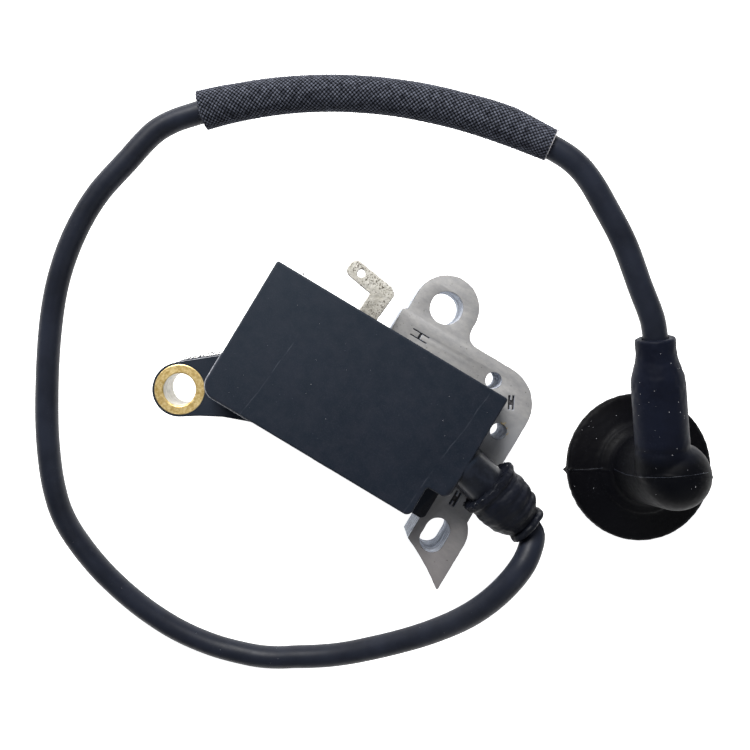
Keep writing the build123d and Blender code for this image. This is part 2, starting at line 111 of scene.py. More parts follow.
class Surface:
    """A procedural material in object coordinates (metres)."""

    def __init__(self, name):
        self.name = name
        self.material = bpy.data.materials.new(name)
        self.material.use_nodes = True
        self.tree = self.material.node_tree
        self.tree.nodes.clear()
        output = self.tree.nodes.new("ShaderNodeOutputMaterial")
        self.shader = self.tree.nodes.new("ShaderNodeBsdfPrincipled")
        self.tree.links.new(self.shader.outputs[0], output.inputs[0])
        self.coords = self.node("TexCoord").outputs["Object"]

    def feed(self, node, inputs):
        """Set sockets by name or index, each to a value or from another node's output."""
        for key, value in inputs.items():
            if hasattr(value, "is_output"):
                self.tree.links.new(value, node.inputs[key])
            else:
                node.inputs[key].default_value = value

    def node(self, kind, inputs=None, **settings):
        node = self.tree.nodes.new("ShaderNode" + kind)
        for key, value in settings.items():
            setattr(node, key, value)
        self.feed(node, inputs or {})
        return node

    def mapped(self, scale, rotation=(0, 0, 0)):
        inputs = {"Vector": self.coords, "Scale": scale, "Rotation": rotation}
        return self.node("Mapping", inputs).outputs[0]

    def noise(self, scale, detail=4.0, rough=0.55, at=None):
        inputs = {"Vector": at or self.coords, "Scale": scale, "Detail": detail,
                  "Roughness": rough}
        return self.node("TexNoise", inputs).outputs["Fac"]

    def cells(self, scale, feature="F1"):
        inputs = {"Vector": self.coords, "Scale": scale}
        return self.node("TexVoronoi", inputs, feature=feature).outputs["Distance"]

    def bands(self, scale, axis, distortion=0.0, detail_scale=1.0):
        inputs = {"Vector": self.coords, "Scale": scale, "Distortion": distortion,
                  "Detail": 2.0, "Detail Scale": detail_scale}
        return self.node("TexWave", inputs, bands_direction=axis).outputs["Fac"]

    def remap(self, value, span, to=(0, 1)):
        """Map the span onto another range, clamped at both ends."""
        inputs = {"Value": value, "From Min": span[0], "From Max": span[1],
                  "To Min": to[0], "To Max": to[1]}
        return self.node("MapRange", inputs).outputs[0]

    def mix(self, factor, first, second):
        inputs = {0: factor, 6: first, 7: second}
        return self.node("Mix", inputs, data_type="RGBA", blend_type="MIX").outputs[2]

    def math(self, operation, first, second=0.0, clamp=False):
        inputs = {0: first, 1: second}
        return self.node("Math", inputs, operation=operation, use_clamp=clamp).outputs[0]

    def add(self, first, second, clamp=False):
        return self.math("ADD", first, second, clamp)

    def sub(self, first, second):
        return self.math("SUBTRACT", first, second)

    def mul(self, first, second, clamp=False):
        return self.math("MULTIPLY", first, second, clamp)

    def position(self):
        return self.node("SeparateXYZ", {0: self.coords}).outputs

    def normal_z(self):
        normal = self.node("NewGeometry").outputs["True Normal"]
        return self.node("SeparateXYZ", {0: normal}).outputs[2]

    def run_along(self, axes, origin, direction):
        """Distance in metres from an origin in mm, summed over the given axes."""
        run = None
        for axis, start, slope in zip(axes, origin, direction):
            part = self.mul(self.sub(axis, float(start * MM)), float(slope))
            run = part if run is None else self.add(run, part)
        return run

    def bump(self, height, distance, strength=1.0, over=None):
        inputs = {"Height": height, "Distance": distance, "Strength": strength}
        if over is not None:
            inputs["Normal"] = over
        return self.node("Bump", inputs).outputs[0]

    def finish(self, colour, rough, normal, metal=0.0, spec=0.5, sheen=0.0):
        self.feed(self.shader, {
            "Base Color": colour, "Roughness": rough, "Metallic": metal, "Normal": normal,
            "Specular IOR Level": spec, "Sheen Weight": sheen})
        MATERIALS[self.name] = self.material


# ---------------------------------------------------------------- materials
def block_plastic():
    mat = Surface("block_plastic")
    broad = mat.noise(scale=70, detail=3)
    medium = mat.noise(scale=420, rough=0.6)
    fine = mat.noise(scale=5200, detail=3, rough=0.7)
    x, y, z = mat.position()
    # painted light: lighter towards the -x +y corner, where the key light stands, by 5 per
    # metre on each axis
    corner = mat.add(mat.mul(x, -5.0), mat.mul(y, 5.0))
    corner = mat.add(corner, 0.20, clamp=True)
    colour = mat.mix(mat.remap(broad, span=(0.3, 0.7)), srgb(18, 25, 35), srgb(24, 30, 40))
    colour = mat.mix(mat.remap(medium, span=(0.42, 0.66), to=(0, 0.35)), colour,
                     srgb(31, 33, 43))
    colour = mat.mix(corner, colour, srgb(50, 58, 68))
    colour = mat.mix(mat.remap(fine, span=(0.50, 0.72), to=(0, 0.30)), colour,
                     srgb(54, 58, 68))

    # thin witness lines of the mould inserts on the top face, leaning in x by this per y
    lean = 0.092
    wavy_x = mat.add(x, mat.mul(mat.noise(scale=160, detail=2), 0.0010))
    for start_x, start_y, end_y, half_width, amount in (
            (-0.02480, -0.0395, -0.0205, 0.00013, 0.34),
            (0.01500, -0.0225, -0.0108, 0.00016, 0.26)):
        away = mat.sub(wavy_x, mat.add(start_x - lean * start_y, mat.mul(y, lean)))
        line = mat.remap(mat.math("ABSOLUTE", away), span=(0.0, half_width), to=(amount, 0.0))
        line = mat.mul(line, mat.remap(y, span=(end_y - 0.002, end_y), to=(1, 0)))
        gaps = mat.remap(mat.noise(scale=240, detail=2), span=(0.42, 0.58))
        line = mat.mul(line, gaps, clamp=True)
        colour = mat.mix(line, colour, srgb(88, 92, 102))

    specks = mat.remap(mat.cells(scale=950), span=(0.0, 0.10), to=(1.0, 0.0))
    patches = mat.remap(mat.noise(scale=130, detail=2), span=(0.56, 0.62), to=(0, 0.55))
    colour = mat.mix(mat.mul(specks, patches, clamp=True), colour, srgb(92, 96, 108))
    normal = mat.bump(fine, distance=0.00001, strength=0.35)
    normal = mat.bump(broad, distance=0.00018, strength=0.25, over=normal)

    # the lead stub is glossier than the block, and darker: partly its own glossier black
    # finish, partly painted shade for the deep shade along its lower side
    stub = mat.remap(mat.run_along((x, y), STUB_AT, STUB_DIR), span=(0.0002, 0.0008))
    stub = mat.mul(stub, mat.remap(z, span=(0.0100, 0.0108)))
    scuff = mat.noise(scale=700, rough=0.7, at=mat.mapped(scale=(0.5, 0.5, 1)))
    scuff = mat.remap(scuff, span=(0.44, 0.60), to=(0, 0.5))
    colour = mat.mix(stub, colour, mat.mix(scuff, srgb(13, 16, 24), srgb(30, 34, 44)))
    rough = mat.mix(stub, mat.remap(medium, span=(0.3, 0.7), to=(0.43, 0.56)),
                    mat.remap(medium, span=(0.3, 0.7), to=(0.26, 0.38)))
    mat.finish(colour, rough, normal, spec=mat.remap(stub, span=(0, 1), to=(0.17, 0.42)))


def rubber(name, low, high, rough, fine, spec, dust, lump, boot_painted_shade=False):
    """Uneven rubber; fine is the grain's scale, lump the depth of the broader bumps."""
    mat = Surface(name)
    broad = mat.noise(scale=120, detail=3)
    medium = mat.noise(scale=900, rough=0.6)
    colour = mat.mix(mat.remap(broad, span=(0.3, 0.7)), srgb(*low), srgb(*high))
    if boot_painted_shade:
        # painted shade: darker on the elbow than along the arm, darkest down on the flange,
        # which lies in shade
        axes = mat.position()
        run = mat.run_along(axes, BOOT_ROOT, BOOT_ARM)
        colour = mat.mix(mat.remap(run, span=(0.0035, 0.0085), to=(1, 0)), colour,
                         srgb(4, 5, 9))
        colour = mat.mix(mat.remap(axes[2], span=(-0.006, 0.008), to=(1, 0)), colour,
                         srgb(3, 3, 6))
    motes = mat.noise(scale=2600, detail=2, rough=0.8)
    motes = mat.remap(motes, span=(0.60, 0.72), to=(0, dust))
    patches = mat.remap(mat.noise(scale=180, detail=2), span=(0.45, 0.65))
    colour = mat.mix(mat.mul(motes, patches, clamp=True), colour, srgb(120, 124, 134))
    grain = mat.noise(scale=fine, detail=3, rough=0.7)
    normal = mat.bump(grain, distance=0.000012, strength=0.4)
    normal = mat.bump(medium, distance=lump, strength=0.3, over=normal)
    mat.finish(colour, mat.remap(medium, span=(0.3, 0.7), to=rough), normal, spec=spec)


def silicon_steel():
    mat = Surface("silicon_steel")
    _, y, z = mat.position()
    flat = mat.remap(mat.math("ABSOLUTE", mat.normal_z()), span=(0.55, 0.9))
    stretched = mat.mapped(scale=(1, 1.8, 1.8), rotation=(0, 0, 0.25))
    brush = mat.noise(scale=520, detail=5, rough=0.65, at=stretched)
    patch = mat.noise(scale=150, detail=3)
    pits = mat.remap(mat.cells(scale=1100), span=(0.06, 0.20), to=(1.0, 0.0))
    pitted = mat.remap(mat.noise(scale=260, detail=2), span=(0.50, 0.62), to=(0, 0.75))
    pits = mat.mul(pits, pitted, clamp=True)

    # sheet faces: the leg's -y end is a darker, browner grey; its waist is brightened with
    # painted light, to lift the block's shadow there
    leg_end = mat.remap(y, span=(-0.055, -0.026), to=(1.0, 0.0))
    face = mat.mix(mat.remap(brush, span=(0.3, 0.7)), srgb(138, 138, 140),
                   srgb(158, 157, 156))
    face = mat.mix(mat.remap(patch, span=(0.45, 0.75), to=(0, 0.30)), face,
                   srgb(134, 132, 131))
    face = mat.mix(mat.mul(leg_end, 0.85), face, srgb(122, 117, 118))
    waist_painted_light = mat.mul(mat.remap(y, span=(-0.036, -0.029)),
                    mat.remap(y, span=(-0.018, -0.011), to=(1, 0)))
    face = mat.mix(mat.mul(waist_painted_light, 0.9), face, srgb(176, 177, 181))
    face = mat.mix(pits, face, srgb(74, 72, 70))

    # walls: bright cut edges of the sheets with darker varnish between them
    streaks = mat.noise(scale=760, rough=0.75, at=mat.mapped(scale=(0.45, 0.45, 2.4)))
    wall = mat.mix(mat.remap(streaks, span=(0.36, 0.62)), srgb(132, 140, 156),
                   srgb(226, 232, 242))
    seam = mat.math("SINE", mat.mul(z, math.pi / (SHEET_PITCH * MM)))
    seam = mat.remap(mat.math("ABSOLUTE", seam), span=(0.0, 0.30), to=(0.55, 0.0))
    wall = mat.mix(seam, wall, srgb(92, 96, 106))
    normal = mat.bump(brush, distance=0.00001, strength=0.12)
    grain = mat.noise(scale=2400, detail=3, rough=0.7)
    normal = mat.bump(grain, distance=0.00001, strength=0.22, over=normal)
    mat.finish(mat.mix(flat, wall, face), mat.remap(patch, span=(0.3, 0.7), to=(0.56, 0.68)),
               normal, metal=0.30, spec=0.25)


def bushing_brass():
    mat = Surface("bushing_brass")
    x, y, _ = mat.position()
    off_x = mat.sub(x, BUSHING_AT[0] * MM)
    off_y = mat.sub(y, BUSHING_AT[1] * MM)
    radius = mat.math("SQRT", mat.add(mat.mul(off_x, off_x), mat.mul(off_y, off_y)))
    grain = mat.noise(scale=1700, rough=0.7)
    # turning marks, in radians per metre of radius
    marks = mat.math("SINE", mat.mul(radius, 62000.0))
    colour = mat.mix(mat.remap(grain, span=(0.36, 0.64)), srgb(218, 182, 104),
                     srgb(251, 228, 168))
    stain = mat.remap(mat.noise(scale=500, detail=3), span=(0.5, 0.7), to=(0, 0.22))
    colour = mat.mix(stain, colour, srgb(170, 128, 62))
    rim = mat.remap(radius, span=(0.00515, 0.00535), to=(0, 0.8))
    colour = mat.mix(rim, colour, srgb(238, 214, 160))
    bore = mat.remap(radius, span=(0.003462, 0.003478), to=(1, 0))
    greys = mat.remap(mat.noise(scale=800, detail=3), span=(0.35, 0.65))
    colour = mat.mix(bore, colour, mat.mix(greys, srgb(168, 164, 152), srgb(200, 197, 185)))
    normal = mat.bump(marks, distance=0.000004, strength=0.5)
    normal = mat.bump(grain, distance=0.00002, strength=0.4, over=normal)
    mat.finish(colour, mat.remap(grain, span=(0.3, 0.7), to=(0.34, 0.5)), normal,
               metal=mat.remap(bore, span=(0, 1), to=(0.8, 0.1)))


def tinned_brass():
    mat = Surface("tinned_brass")
    blotch = mat.noise(scale=620, detail=5, rough=0.72)
    fine = mat.noise(scale=2400, rough=0.75)
    edge = mat.remap(mat.normal_z(), span=(0.5, 0.92), to=(0.75, 0.0))
    colour = mat.mix(mat.remap(blotch, span=(0.35, 0.65)), srgb(178, 175, 165),
                     srgb(208, 206, 199))
    patches = mat.remap(mat.noise(scale=300, detail=2), span=(0.38, 0.52), to=(0.25, 1))
    dots = mat.mul(mat.remap(fine, span=(0.52, 0.585)), patches, clamp=True)
    colour = mat.mix(dots, colour, srgb(74, 66, 54))
    root = mat.remap(mat.position()[1], span=(-0.0100, -0.0030), to=(0.75, 0.0))
    stain = mat.remap(mat.noise(scale=900, rough=0.7), span=(0.35, 0.60), to=(0.4, 1.0))
    colour = mat.mix(mat.mul(root, stain), colour, srgb(112, 108, 102))
    colour = mat.mix(edge, colour, srgb(98, 94, 90))
    normal = mat.bump(blotch, distance=0.00008, strength=0.6)
    normal = mat.bump(fine, distance=0.00002, strength=0.5, over=normal)
    mat.finish(colour, mat.remap(fine, span=(0.3, 0.7), to=(0.42, 0.65)), normal,
               metal=0.30, spec=0.3)


def plain(name, low, high, metal=0.0, rough=(0.4, 0.6), scale=600, bump=0.00003, spots=None):
    """Mottled between two colours, with optional spots of a third."""
    mat = Surface(name)
    mottle = mat.noise(scale=scale, rough=0.6)
    fine = mat.noise(scale=scale * 5, detail=3, rough=0.7)
    colour = mat.mix(mat.remap(mottle, span=(0.32, 0.68)), srgb(*low), srgb(*high))
    if spots:
        colour = mat.mix(mat.remap(fine, span=(0.60, 0.70), to=(0, 0.7)), colour,
                         srgb(*spots))
    normal = mat.bump(mottle, distance=bump, strength=0.5)
    normal = mat.bump(fine, distance=bump * 0.3, strength=0.5, over=normal)
    mat.finish(colour, mat.remap(fine, span=(0.3, 0.7), to=rough), normal, metal=metal)


def winding(name, low, high, pitch):
    """Wire turns in bands along y."""
    mat = Surface(name)
    turns = mat.bands(scale=0.5 / pitch, axis="Y", distortion=0.6, detail_scale=40)
    colour = mat.mix(mat.remap(turns, span=(0.1, 0.9)), srgb(*low), srgb(*high))
    stain = mat.remap(mat.noise(scale=400, detail=3), span=(0.5, 0.7), to=(0, 0.3))
    colour = mat.mix(stain, colour, srgb(*low))
    normal = mat.bump(turns, distance=0.00006, strength=0.8)
    rough = mat.remap(mat.noise(scale=900, detail=3), span=(0.3, 0.7), to=(0.22, 0.4))
    mat.finish(colour, rough, normal, metal=0.65)


def cloth(name, low, high, scale, lifted=False):
    """Fibrous cloth; lifted cloth gets painted shade, darker where the mesh's lift attribute
    is low, where strands pass under.
    """
    mat = Surface(name)
    yarn = mat.noise(scale=scale, detail=3, rough=0.6)
    fibre = mat.noise(scale=scale * 3.5, detail=3, rough=0.8)
    colour = mat.mix(mat.remap(yarn, span=(0.32, 0.68)), srgb(*low), srgb(*high))
    colour = mat.mix(mat.remap(fibre, span=(0.56, 0.70), to=(0, 0.5)), colour,
                     srgb(86, 90, 104))
    if lifted:
        lift = mat.node("Attribute", attribute_name="lift").outputs["Fac"]
        # painted shade where strands dip under their neighbours and along their edges
        colour = mat.mix(mat.remap(lift, span=(0.34, 0.96)), srgb(2, 3, 6), colour)
    normal = mat.bump(fibre, distance=0.00003, strength=0.7)
    mat.finish(colour, mat.remap(fibre, span=(0.3, 0.7), to=(0.55, 0.8)), normal,
               spec=0.10, sheen=0.02)


def board_laminate():
    mat = Surface("board_laminate")
    weave = mat.add(mat.bands(scale=900, axis="X"), mat.bands(scale=900, axis="Y"))
    colour = mat.mix(mat.remap(weave, span=(0.4, 1.6)), srgb(52, 96, 60), srgb(74, 124, 80))
    tracks = mat.cells(scale=260, feature="DISTANCE_TO_EDGE")
    tracks = mat.remap(tracks, span=(0.02, 0.10), to=(0.7, 0.0))
    colour = mat.mix(tracks, colour, srgb(150, 150, 110))
    rough = mat.remap(mat.noise(scale=700), span=(0.3, 0.7), to=(0.35, 0.5))
    mat.finish(colour, rough, mat.bump(weave, distance=0.00002, strength=0.4))


def floor_paper():
    mat = Surface("floor_paper")
    colour = mat.mix(mat.noise(scale=30, detail=3), (0.93, 0.93, 0.935, 1),
                     (0.96, 0.96, 0.96, 1))
    mat.feed(mat.shader, {"Emission Color": (1, 1, 1, 1), "Emission Strength": 0.86})
    normal = mat.bump(mat.noise(scale=900), distance=0.00002, strength=0.2)
    mat.finish(colour, 0.9, normal, spec=0.1)


block_plastic()
silicon_steel()
bushing_brass()
tinned_brass()
plain("resin", (30, 27, 26), (58, 50, 44), rough=(0.15, 0.35), scale=260, bump=0.0002,
      spots=(80, 70, 60))
plain("bobbin_nylon", (206, 200, 184), (230, 226, 214), rough=(0.35, 0.5), scale=500)
winding("enamel_copper", (120, 46, 20), (206, 108, 56), pitch=0.0004)
winding("fine_copper", (112, 58, 26), (190, 118, 62), pitch=0.00015)
board_laminate()
plain("capacitor_case", (150, 78, 30), (186, 104, 44), rough=(0.2, 0.35), scale=380,
      bump=0.0001)
plain("semiconductor_case", (24, 24, 26), (42, 42, 44), scale=900)
plain("resistor_body", (196, 168, 120), (222, 198, 152), rough=(0.3, 0.5), scale=900,
      spots=(120, 60, 30))
plain("tinned_wire", (176, 176, 172), (218, 218, 214), metal=0.85, rough=(0.25, 0.42),
      scale=1500, bump=0.00002, spots=(110, 108, 100))
rubber("lead_rubber", (19, 22, 31), (31, 35, 46), rough=(0.40, 0.52), fine=3800, spec=0.18,
       dust=0.06, lump=0.00004)
winding("strand_copper", (150, 82, 44), (214, 140, 88), pitch=0.0005)
rubber("relief_rubber", (5, 7, 12), (15, 18, 28), rough=(0.42, 0.60), fine=2600, spec=0.16,
       dust=0.12, lump=0.00012)
# the boot rubber carries painted shade on its elbow and flange
rubber("boot_rubber", (13, 16, 27), (20, 24, 37), rough=(0.46, 0.58), fine=3000, spec=0.07,
       dust=0.06, lump=0.00005, boot_painted_shade=True)
rubber("seam_rubber", (8, 9, 14), (46, 51, 62), rough=(0.35, 0.5), fine=3000, spec=0.25,
       dust=0.3, lump=0.00005)
# burr colour: partly the real burr, partly painted shade along the sheet edges
plain("burr_dark", (52, 50, 50), (96, 94, 94), metal=0.2, rough=(0.5, 0.7), scale=900,
      bump=0.00001)
plain("spring_steel", (150, 150, 152), (196, 196, 198), metal=0.9, rough=(0.22, 0.36),
      scale=1400, bump=0.00002)
cloth("woven_sleeve", (48, 51, 62), (106, 110, 124), scale=900, lifted=True)
cloth("loose_fibre", (36, 38, 48), (80, 82, 92), scale=900)
cloth("sleeve_liner", (12, 13, 18), (24, 25, 32), scale=1400)
plain("cut_fibre", (128, 126, 130), (190, 188, 190), rough=(0.6, 0.8), scale=2600,
      bump=0.00004)
plain("pale_grain", (118, 120, 128), (196, 196, 200), rough=(0.6, 0.8), scale=4000,
      bump=0.00002)
plain("dark_grain", (14, 14, 18), (44, 44, 50), rough=(0.6, 0.8), scale=3000)
# pale bead colour: a painted highlight on the block's rim, and real flash on the fixing arm
plain("edge_bead", (120, 122, 132), (172, 174, 182), rough=(0.25, 0.4), scale=1800,
      bump=0.00002, spots=(70, 72, 82))
plain("amber_resin", (150, 128, 84), (196, 180, 140), rough=(0.2, 0.4), scale=1800,
      bump=0.00004)
plain("pit_dark", (34, 32, 32), (86, 84, 86), metal=0.4, rough=(0.5, 0.7), scale=2600,
      bump=0.00005)

# material: the CAD pieces made of it
CAD_PIECES = {
    "block_plastic": "housing",
    "silicon_steel": "core_laminations",
    "bushing_brass": "mount_bushing",
    "tinned_brass": "kill_terminal",
    "resin": "potting_resin",
    "bobbin_nylon": "charge_bobbin primary_bobbin secondary_bobbin",
    "enamel_copper": "charge_winding primary_winding",
    "fine_copper": "trigger_winding secondary_winding",
    "board_laminate": "circuit_board",
    "capacitor_case": "storage_capacitor",
    "semiconductor_case": "thyristor diodes",
    "resistor_body": "resistors",
    "tinned_wire": "kill_link_wire ground_strap ht_spike hv_link_wire",
    "lead_rubber": "lead_jacket_root lead_jacket_lower lead_jacket_upper lead_jacket_end",
    "strand_copper": "lead_core_root lead_core_lower lead_core_upper lead_core_end",
    "relief_rubber": "strain_relief",
    "woven_sleeve": "braided_sleeve",
    "boot_rubber": "plug_boot",
    "spring_steel": "plug_contact_spring",
}
CAD_MATERIAL = {piece: mat for mat, pieces in CAD_PIECES.items() for piece in pieces.split()}
for name, node in NODES.items():
    material = MATERIALS[CAD_MATERIAL[name]]
    if not node.data.materials:
        node.data.materials.append(material)
    for slot in node.material_slots:
        slot.material = material


# ---------------------------------------------------------------- mesh kit
def noise3(x, y, z):
    return noise.noise(Vector((x, y, z)))


def falloff(distance, reach):
    """1 at no distance, falling evenly to 0 at the reach."""
    return np.clip(1 - np.abs(distance) / reach, 0, 1)


def ring_angles(sides):
    return np.arange(sides) * 2 * math.pi / sides


def dress(name, mesh, material, body=None, angle=38):
    """Make an object of the mesh; edges sharper than the angle are not smoothed."""
    mesh.materials.clear()
    mesh.materials.append(MATERIALS[material])
    mesh.polygons.foreach_set("use_smooth", [True] * len(mesh.polygons))
    if angle:
        mesh.set_sharp_from_angle(angle=math.radians(angle))
    ob = bpy.data.objects.new(name, mesh)
    bpy.context.scene.collection.objects.link(ob)
    if body:
        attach(ob, body)
    return ob


def new_object(name, verts, faces, material, body=None, slot=None, angle=38):
    mesh = bpy.data.meshes.new(name)
    mesh.from_pydata([tuple(p) for p in np.asarray(verts, float) * MM], [],
                     [tuple(int(i) for i in face) for face in faces])
    mesh.validate()
    mesh.update()
    return dress(name, mesh, material, body, angle)


def merged(parts):
    """Join (verts, faces) parts into one."""
    verts, faces = [], []
    for part_verts, part_faces in parts:
        first = len(verts)
        verts += [tuple(p) for p in part_verts]
        faces += [tuple(first + i for i in face) for face in part_faces]
    return verts, faces


def spline(points, step):
    """Smooth curve through the points: places about every step, and tangents."""
    points = np.asarray(points, float)
    gaps = np.linalg.norm(np.diff(points, axis=0), axis=1)
    stations = np.concatenate([[0], np.cumsum(gaps)])
    slopes = np.zeros_like(points)
    for i in range(1, len(points) - 1):
        before, after = gaps[i - 1], gaps[i]
        slopes[i] = ((points[i] - points[i - 1]) / before * after
                     + (points[i + 1] - points[i]) / after * before) / (before + after)
    slopes[0] = (points[1] - points[0]) / gaps[0]
    slopes[-1] = (points[-1] - points[-2]) / gaps[-1]
    curve = []
    for place in np.linspace(0, stations[-1], int(stations[-1] / step) + 1):
        i = min(len(gaps) - 1, int(np.searchsorted(stations, place, side="right") - 1))
        gap = gaps[i]
        u = (place - stations[i]) / gap
        curve.append((2 * u**3 - 3 * u**2 + 1) * points[i]
                     + (u**3 - 2 * u**2 + u) * gap * slopes[i]
                     + (-2 * u**3 + 3 * u**2) * points[i + 1]
                     + (u**3 - u**2) * gap * slopes[i + 1])
    curve = np.array(curve)
    tangents = np.gradient(curve, axis=0)
    return curve, tangents / np.linalg.norm(tangents, axis=1)[:, None]


def carried_normals(tangents):
    """Normals carried along a curve without twisting."""
    normals = [unit(np.cross(tangents[0], (0, 0, 1.0)))]
    for tangent in tangents[1:]:
        normals.append(unit(normals[-1] - tangent * np.dot(normals[-1], tangent)))
    return np.array(normals)


def tube_rings(points, tangents, normals, radii, sides):
    """One ring per point; each entry of radii is one radius, or one per side."""
    angles = ring_angles(sides)
    return [point + (np.cos(angles) * radius)[:, None] * normal
            + (np.sin(angles) * radius)[:, None] * binormal
            for point, normal, binormal, radius
            in zip(points, normals, np.cross(tangents, normals), radii)]


def skin(rings, closed=False):
    """Faces over rings of equal count, capped unless the last ring meets the first."""
    sides, count = len(rings[0]), len(rings)
    faces = []
    for i in range(count if closed else count - 1):
        this, following = i * sides, ((i + 1) % count) * sides
        for j in range(sides):
            k = (j + 1) % sides
            faces.append((this + j, this + k, following + k, following + j))
    if not closed:
        faces.append(tuple(reversed(range(sides))))
        faces.append(tuple((count - 1) * sides + j for j in range(sides)))
    return np.concatenate(rings), faces


def tube(points, tangents, radii, sides, normals=None):
    if normals is None:
        normals = carried_normals(tangents)
    return skin(tube_rings(points, tangents, normals, radii, sides))


def across(axis):
    """Two directions square to a unit axis."""
    first = unit(np.cross(axis, (0, 0, 1.0) if abs(axis[2]) < 0.9 else (1.0, 0, 0)))
    return first, np.cross(axis, first)


def turned(origin, axis, profile, sides, shape):
    """Turned body from closed (along, radius) points, each moved by
    shape(index, along, angle, radius)."""
    first, second = across(axis)
    rings = []
    for index, (along, radius) in enumerate(profile):
        ring = []
        for angle in ring_angles(sides):
            s, r = shape(index, along, angle, radius)
            ring.append(origin + axis * s
                        + (first * math.cos(angle) + second * math.sin(angle)) * r)
        rings.append(np.array(ring))
    verts, faces = skin(rings, closed=True)
    return verts, [face[::-1] for face in faces]


def resample(profile, step):
    points = []
    for (x0, y0), (x1, y1) in zip(profile, profile[1:]):
        n = max(1, int(math.dist((x0, y0), (x1, y1)) / step))
        points += [(x0 + (x1 - x0) * i / n, y0 + (y1 - y0) * i / n) for i in range(n)]
    return points + [profile[-1]]


def voxelled(name, node, voxel, smooth):
    """A fresh, evenly meshed skin over the CAD node's shape, for carving detail into."""
    source = NODES[node].data.copy()
    bm = bmesh.new()
    bm.from_mesh(source)
    bmesh.ops.remove_doubles(bm, verts=bm.verts, dist=1e-6)
    bm.to_mesh(source)
    bm.free()
    ob = bpy.data.objects.new(name + "_tmp", source)
    bpy.context.scene.collection.objects.link(ob)
    remesh = ob.modifiers.new("even", "REMESH")
    remesh.mode = "VOXEL"
    remesh.voxel_size = voxel * MM
    depsgraph = bpy.context.evaluated_depsgraph_get()
    depsgraph.update()
    mesh = bpy.data.meshes.new_from_object(ob.evaluated_get(depsgraph))
    bpy.data.objects.remove(ob)
    bm = bmesh.new()
    bm.from_mesh(mesh)
    for _ in range(smooth):
        bmesh.ops.smooth_vert(bm, verts=bm.verts, factor=0.5,
                              use_axis_x=True, use_axis_y=True, use_axis_z=True)
    bm.normal_update()
    bm.to_mesh(mesh)
    bm.free()
    mesh.name = name
    return mesh


def read_verts(mesh):
    """Vertex places in mm, and normals."""
    arrays = []
    for key in ("co", "normal"):
        flat = np.zeros(len(mesh.vertices) * 3)
        mesh.vertices.foreach_get(key, flat)
        arrays.append(flat.reshape(-1, 3))
    return arrays[0] / MM, arrays[1]


def write_verts(mesh, places):
    mesh.vertices.foreach_set("co", (places * MM).astype(np.float32).ravel())
    mesh.update()


def grains(name, spots, sizes, material, body, seed, flat=0.6):
    """Irregular eight-sided crumbs; flat squashes them in z."""
    draw = random.Random(seed).uniform
    corners = np.array([(1, 0, 0), (-1, 0, 0), (0, 1, 0), (0, -1, 0), (0, 0, 1), (0, 0, -1)],
                       float)
    faces = [(0, 2, 4), (2, 1, 4), (1, 3, 4), (3, 0, 4),
             (2, 0, 5), (1, 2, 5), (3, 1, 5), (0, 3, 5)]
    parts = []
    for spot in spots:
        size = draw(*sizes)
        crumb = np.array([corner * size * draw(0.5, 1.2)
                          + np.array([draw(-0.3, 0.3) * size for _ in range(3)])
                          for corner in corners])
        angle = draw(0, 6.28)
        cos, sin = math.cos(angle), math.sin(angle)
        crumb = np.stack([crumb[:, 0] * cos - crumb[:, 1] * sin,
                          crumb[:, 0] * sin + crumb[:, 1] * cos, crumb[:, 2] * flat], 1)
        parts.append((crumb + np.asarray(spot), faces))
    new_object(name, *merged(parts), material, body)


# ---------------------------------------------------------------- lamination stack
def arc(start, middle, end, steps):
    """Points on the circle through three points, without the end."""
    (ax, ay), (bx, by), (cx, cy) = start, middle, end
    a2, b2, c2 = ax**2 + ay**2, bx**2 + by**2, cx**2 + cy**2
    area2 = 2 * (ax * (by - cy) + bx * (cy - ay) + cx * (ay - by))
    x0 = (a2 * (by - cy) + b2 * (cy - ay) + c2 * (ay - by)) / area2
    y0 = (a2 * (cx - bx) + b2 * (ax - cx) + c2 * (bx - ax)) / area2
    first, mid, last = (math.atan2(y - y0, x - x0) for x, y in (start, middle, end))
    radius = math.hypot(ax - x0, ay - y0)
    full = 2 * math.pi
    if (mid - first) % full < (last - first) % full:
        sweep = (last - first) % full
    else:
        sweep = -((first - last) % full)
    return [(x0 + radius * math.cos(first + sweep * i / steps),
             y0 + radius * math.sin(first + sweep * i / steps)) for i in range(steps)]


def pole(x, radius=POLE_R):
    """Point at x on the circle of the pole faces."""
    return (x, POLE_CENTRE[1] + math.sqrt(radius * radius - (x - POLE_CENTRE[0]) ** 2))


